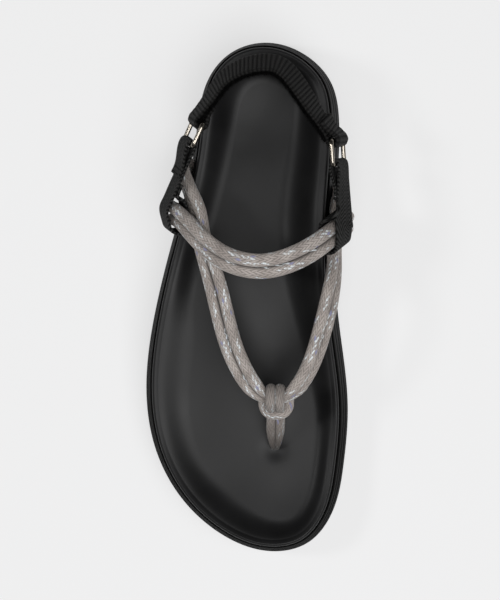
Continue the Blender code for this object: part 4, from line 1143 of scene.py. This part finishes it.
def makeTab(side):
    # The webbing, with two rows of stitches on its fold round the ring and two on its loop round the ropes
    points, ways = tabRoute(side)
    shape, path, sideways, up, places = strapShape(points, ways, strap["tabThick"], tabLook)
    shapes = [shape]
    total, face = places[-1], strap["tabThick"] / 2 + tabLook["rise"] * stitches["seat"]
    for at in (total - tabFold[side] + stitches["foldRow"], total - stitches["foldRow"], stitches["loopRow"],
               strap["loopLap"] + stitches["lapRow"]):
        i = int(np.argmin(np.abs(places - at)))
        ahead = unit(np.cross(sideways[i], up[i]))
        for sign in (1, -1):
            shapes.append(stitchRow(path[i] + up[i] * sign * face, sideways[i], up[i] * sign, ahead))
    outwards(meshPiece(f"{side}TabWebbing", joined(shapes), webbing, [f"{side}_tab"]))


heelLook = dict(columns=24, ribs=crossRibs(0.0021), mean=0.6, rise=0.00030, thread=0.000525)
# share is that of the inner face; clearStart and clearEnd are the strap's lengths without pile; inset is from
# the selvedge; lean and bend are how far the hairs stray from standing straight
fuzz = dict(count=24000, long=(0.0012, 0.0026), wide=0.00012, seed=7, share=0.50, clearStart=0.012,
            clearEnd=0.018, inset=0.0002, lean=0.45, bend=0.35)


def heelRoute():
    # The heel strap's run between the rings, each end hugging its ring and folded back beside the run
    layer, wrap = strap["heelThick"] + strap["gap"], heelWrap()
    knots = place(np.array(heelBand["along"]), np.array(heelBand["across"]), np.array(heelBand["up"]))
    run = smoothPath(knots, strap["heelStep"])
    spans = walkedLength(knots)
    level = unit(np.cross([0, 0, 1.0], tangents(run)))
    lean = np.radians(np.interp(np.linspace(0, spans[-1], len(run)), spans, heelBand["lean"]))[:, None]
    way = unit(np.array([[0, 0, 1.0]]) * np.cos(lean) + level * np.sin(lean))
    outward = unit(np.cross(tangents(run), way))
    walked = walkedLength(run)

    def lie(places, towards):
        read = [np.stack([np.interp(places, walked, rows[:, c]) for c in range(3)], axis=1)
                for rows in (run, outward, way)]
        return read[0] + unit(read[1]) * layer * towards, unit(read[2])

    tail = np.array([strap["foldStart"] + strap["foldLength"], strap["foldStart"]])
    first, firstWay = lie(tail, 1)
    last, lastWay = lie(walked[-1] - tail[::-1], -1)
    turns = {}
    for side, start, before, after in (("medial", 1, first[-1], run[1]), ("lateral", -1, last[0], run[-2])):
        centre, forward, bar, out = ringFrame(side)
        barPlace = centre - forward * (strap["ringGap"] + strap["wire"]) / 2
        bend = hug(barPlace, out * start, forward, wrap, before, after, strap["turnSteps"])
        turns[side] = bend, np.tile(bar, (len(bend), 1))
    points = np.concatenate([first, turns["medial"][0], run[1:-1], turns["lateral"][0][::-1], last])
    ways = np.concatenate([firstWay, turns["medial"][1], way[1:-1], turns["lateral"][1], lastWay])
    return points, ways


def pileHairs(path, side, up, places):
    # Thin tapered blades that stand on the inner face and the top edge, each bent by its own amount
    dice, count = np.random.default_rng(fuzz["seed"]), fuzz["count"]
    start = strap["foldStart"] + strap["foldLength"] + fuzz["clearStart"]
    end = places[-1] - fuzz["clearEnd"]
    row = np.searchsorted(places, dice.uniform(start, end, count)).clip(0, len(places) - 1)
    onFace = dice.random(count) < fuzz["share"]
    x = np.where(onFace, dice.uniform(-0.96, 1.0, count), 1.0) * (strap["width"] / 2 - fuzz["inset"])
    z = np.where(onFace, -0.5, dice.uniform(-0.5, 0.1, count)) * strap["heelThick"]
    root = path[row] + side[row] * x[:, None] + up[row] * z[:, None]
    ahead = unit(np.cross(side[row], up[row]))
    lean = dice.normal(0, fuzz["lean"], (count, 3))
    way = unit(np.where(onFace[:, None], -up[row], side[row] * 0.8 - up[row] * 0.5) + lean)
    length = dice.uniform(*fuzz["long"], count)[:, None]
    flat = unit(np.cross(way, ahead + lean)) * fuzz["wide"] / 2
    bend = unit(lean - way * np.sum(lean * way, axis=1, keepdims=True)) * length * fuzz["bend"]
    middle = root + way * length * 0.55 + bend * 0.3
    tip = root + way * length * 0.9 + bend
    verts = np.stack([root - flat, root + flat, middle + flat * 0.7, middle - flat * 0.7, tip], axis=1)
    base = np.arange(count)[:, None] * 5
    return dict(verts=verts.reshape(-1, 3), quads=base + np.array([[0, 1, 2, 3]]),
                quadUv=np.zeros((count, 4, 2)), tris=base + np.array([[3, 2, 4]]),
                triUv=np.zeros((count, 3, 2)))


def makeHeelStrap():
    # The ribbed band, and its pile on the side towards the foot
    points, ways = heelRoute()
    shape, path, side, up, places = strapShape(points, ways, strap["heelThick"], heelLook)
    outwards(meshPiece("heelBandRibbed", shape, ribbed, ["heel_strap"]))
    backwards = 1 if np.dot(up[len(path) // 2], [0, 1, 0]) > 0 else -1
    meshPiece("heelBandPile", pileHairs(path, side, up * backwards, places), pile,
              ["heel_strap"])


print("frame and tables ready")
entries = []
for row in (toeLoop, instepBand):
    entries += [wallEntry(side, row)[1] + np.array([0, sign * rope["wide"] / 2, 0])
                for side in ("medial", "lateral") for sign in (-1, 1)]
makeOutsole()
makeMidsole(entries)
makeFootbed(postFoot())
print("sole made")
loopShapes = pairShapes(toeLoop, squeeze=rope["squeeze"])
bandShapes = pairShapes(instepBand, rope["bandGrow"])
for name, shape in (("toeLoopRopeBack", loopShapes[0]), ("toeLoopRopeFront", loopShapes[1]),
                    ("instepRopeBack", bandShapes[0]), ("instepRopeFront", bandShapes[1])):
    outwards(meshPiece(name, shape, ropeCloth, ["rope_upper"]))
outwards(meshPiece("toePostRope", joined(postShapes()), postCloth, ["toe_post"]))
outwards(meshPiece("toePostLoop", bightShape(), ropeCloth, ["toe_post"]))
print("ropes made")
for side in ("medial", "lateral"):
    makeRing(side)
    makeTab(side)
makeHeelStrap()
print("straps made")


# Floor, light and camera

studio = dict(floorSize=6.0, floorDark=colour(0.22, 0.22, 0.22), floorLight=colour(0.225, 0.225, 0.23),
              floorPatches=3.0, floorRough=0.9, floorGlow=0.62, world=0.05, lightsTarget=(0, 0, 0.02),
              keyLight=dict(energy=34.0, size=1.4, place=(0.45, -0.42, 1.70)),
              sideLight=dict(energy=6.0, size=0.25, place=(-0.95, 0.15, 1.15)))
# sensor is the width of the long side, which is the frame's height
view = dict(place=(0.05994, 0.03405, 1.250), target=(0.0015, -0.001, 0.030), shoeShare=0.86, sensor=24.0)


def aimed(item, target):
    # Turns an item's own -Z to the target, with its up as near to +Y as can be
    direction = unit(np.array(target) - np.array(item.location))
    right = unit(np.cross(direction, [0.0, 1.0, 0.0]))
    up = np.cross(right, direction)
    matrix = np.eye(4)
    matrix[:3, 0], matrix[:3, 1], matrix[:3, 2], matrix[:3, 3] = right, up, -direction, item.location
    item.matrix_world = Matrix(matrix.tolist())


def makeStudio():
    # A pale floor that glows a little, a plain world and two soft lamps
    mesh = bpy.data.meshes.new("floor")
    half = studio["floorSize"] / 2
    corners = [(-half, -half, 0), (half, -half, 0), (half, half, 0), (-half, half, 0)]
    mesh.from_pydata(corners, [], [(0, 1, 2, 3)])
    floor = bpy.data.objects.new("floor", mesh)
    bpy.context.scene.collection.objects.link(floor)
    material, w, shader = newMaterial("paleFloor", studio["floorRough"], specular=0.0)
    patches = w.noise(w.node("ShaderNodeTexCoord").outputs["Object"], studio["floorPatches"])
    w.put(shader.inputs["Base Color"], w.mix(patches, studio["floorDark"], studio["floorLight"]))
    shader.inputs["Emission Color"].default_value = colour(1, 1, 1)
    shader.inputs["Emission Strength"].default_value = studio["floorGlow"]
    mesh.materials.append(material)

    world = bpy.data.worlds.new("studio")
    bpy.context.scene.world = world
    world.use_nodes = True
    world.node_tree.nodes["Background"].inputs["Color"].default_value = colour(1, 1, 1)
    world.node_tree.nodes["Background"].inputs["Strength"].default_value = studio["world"]

    for name in ("keyLight", "sideLight"):
        light = bpy.data.lights.new(name, "AREA")
        light.energy, light.size = studio[name]["energy"], studio[name]["size"]
        item = bpy.data.objects.new(name, light)
        bpy.context.scene.collection.objects.link(item)
        item.location = studio[name]["place"]
        aimed(item, studio["lightsTarget"])


def makeCamera():
    # The photograph's camera place, turned to the shoe and drawn in until the shoe fills the frame
    data = bpy.data.cameras.new("camera")
    camera = bpy.data.objects.new("camera", data)
    bpy.context.scene.collection.objects.link(camera)
    camera.location = view["place"]
    aimed(camera, view["target"])
    data.sensor_width = view["sensor"]
    distance = np.linalg.norm(np.array(view["place"]) - np.array(view["target"]))
    data.lens = data.sensor_width * distance * view["shoeShare"] / shoe["length"]
    bpy.context.scene.camera = camera


makeStudio()
makeCamera()
bpy.context.scene.view_settings.view_transform = "Standard"
print("studio made")
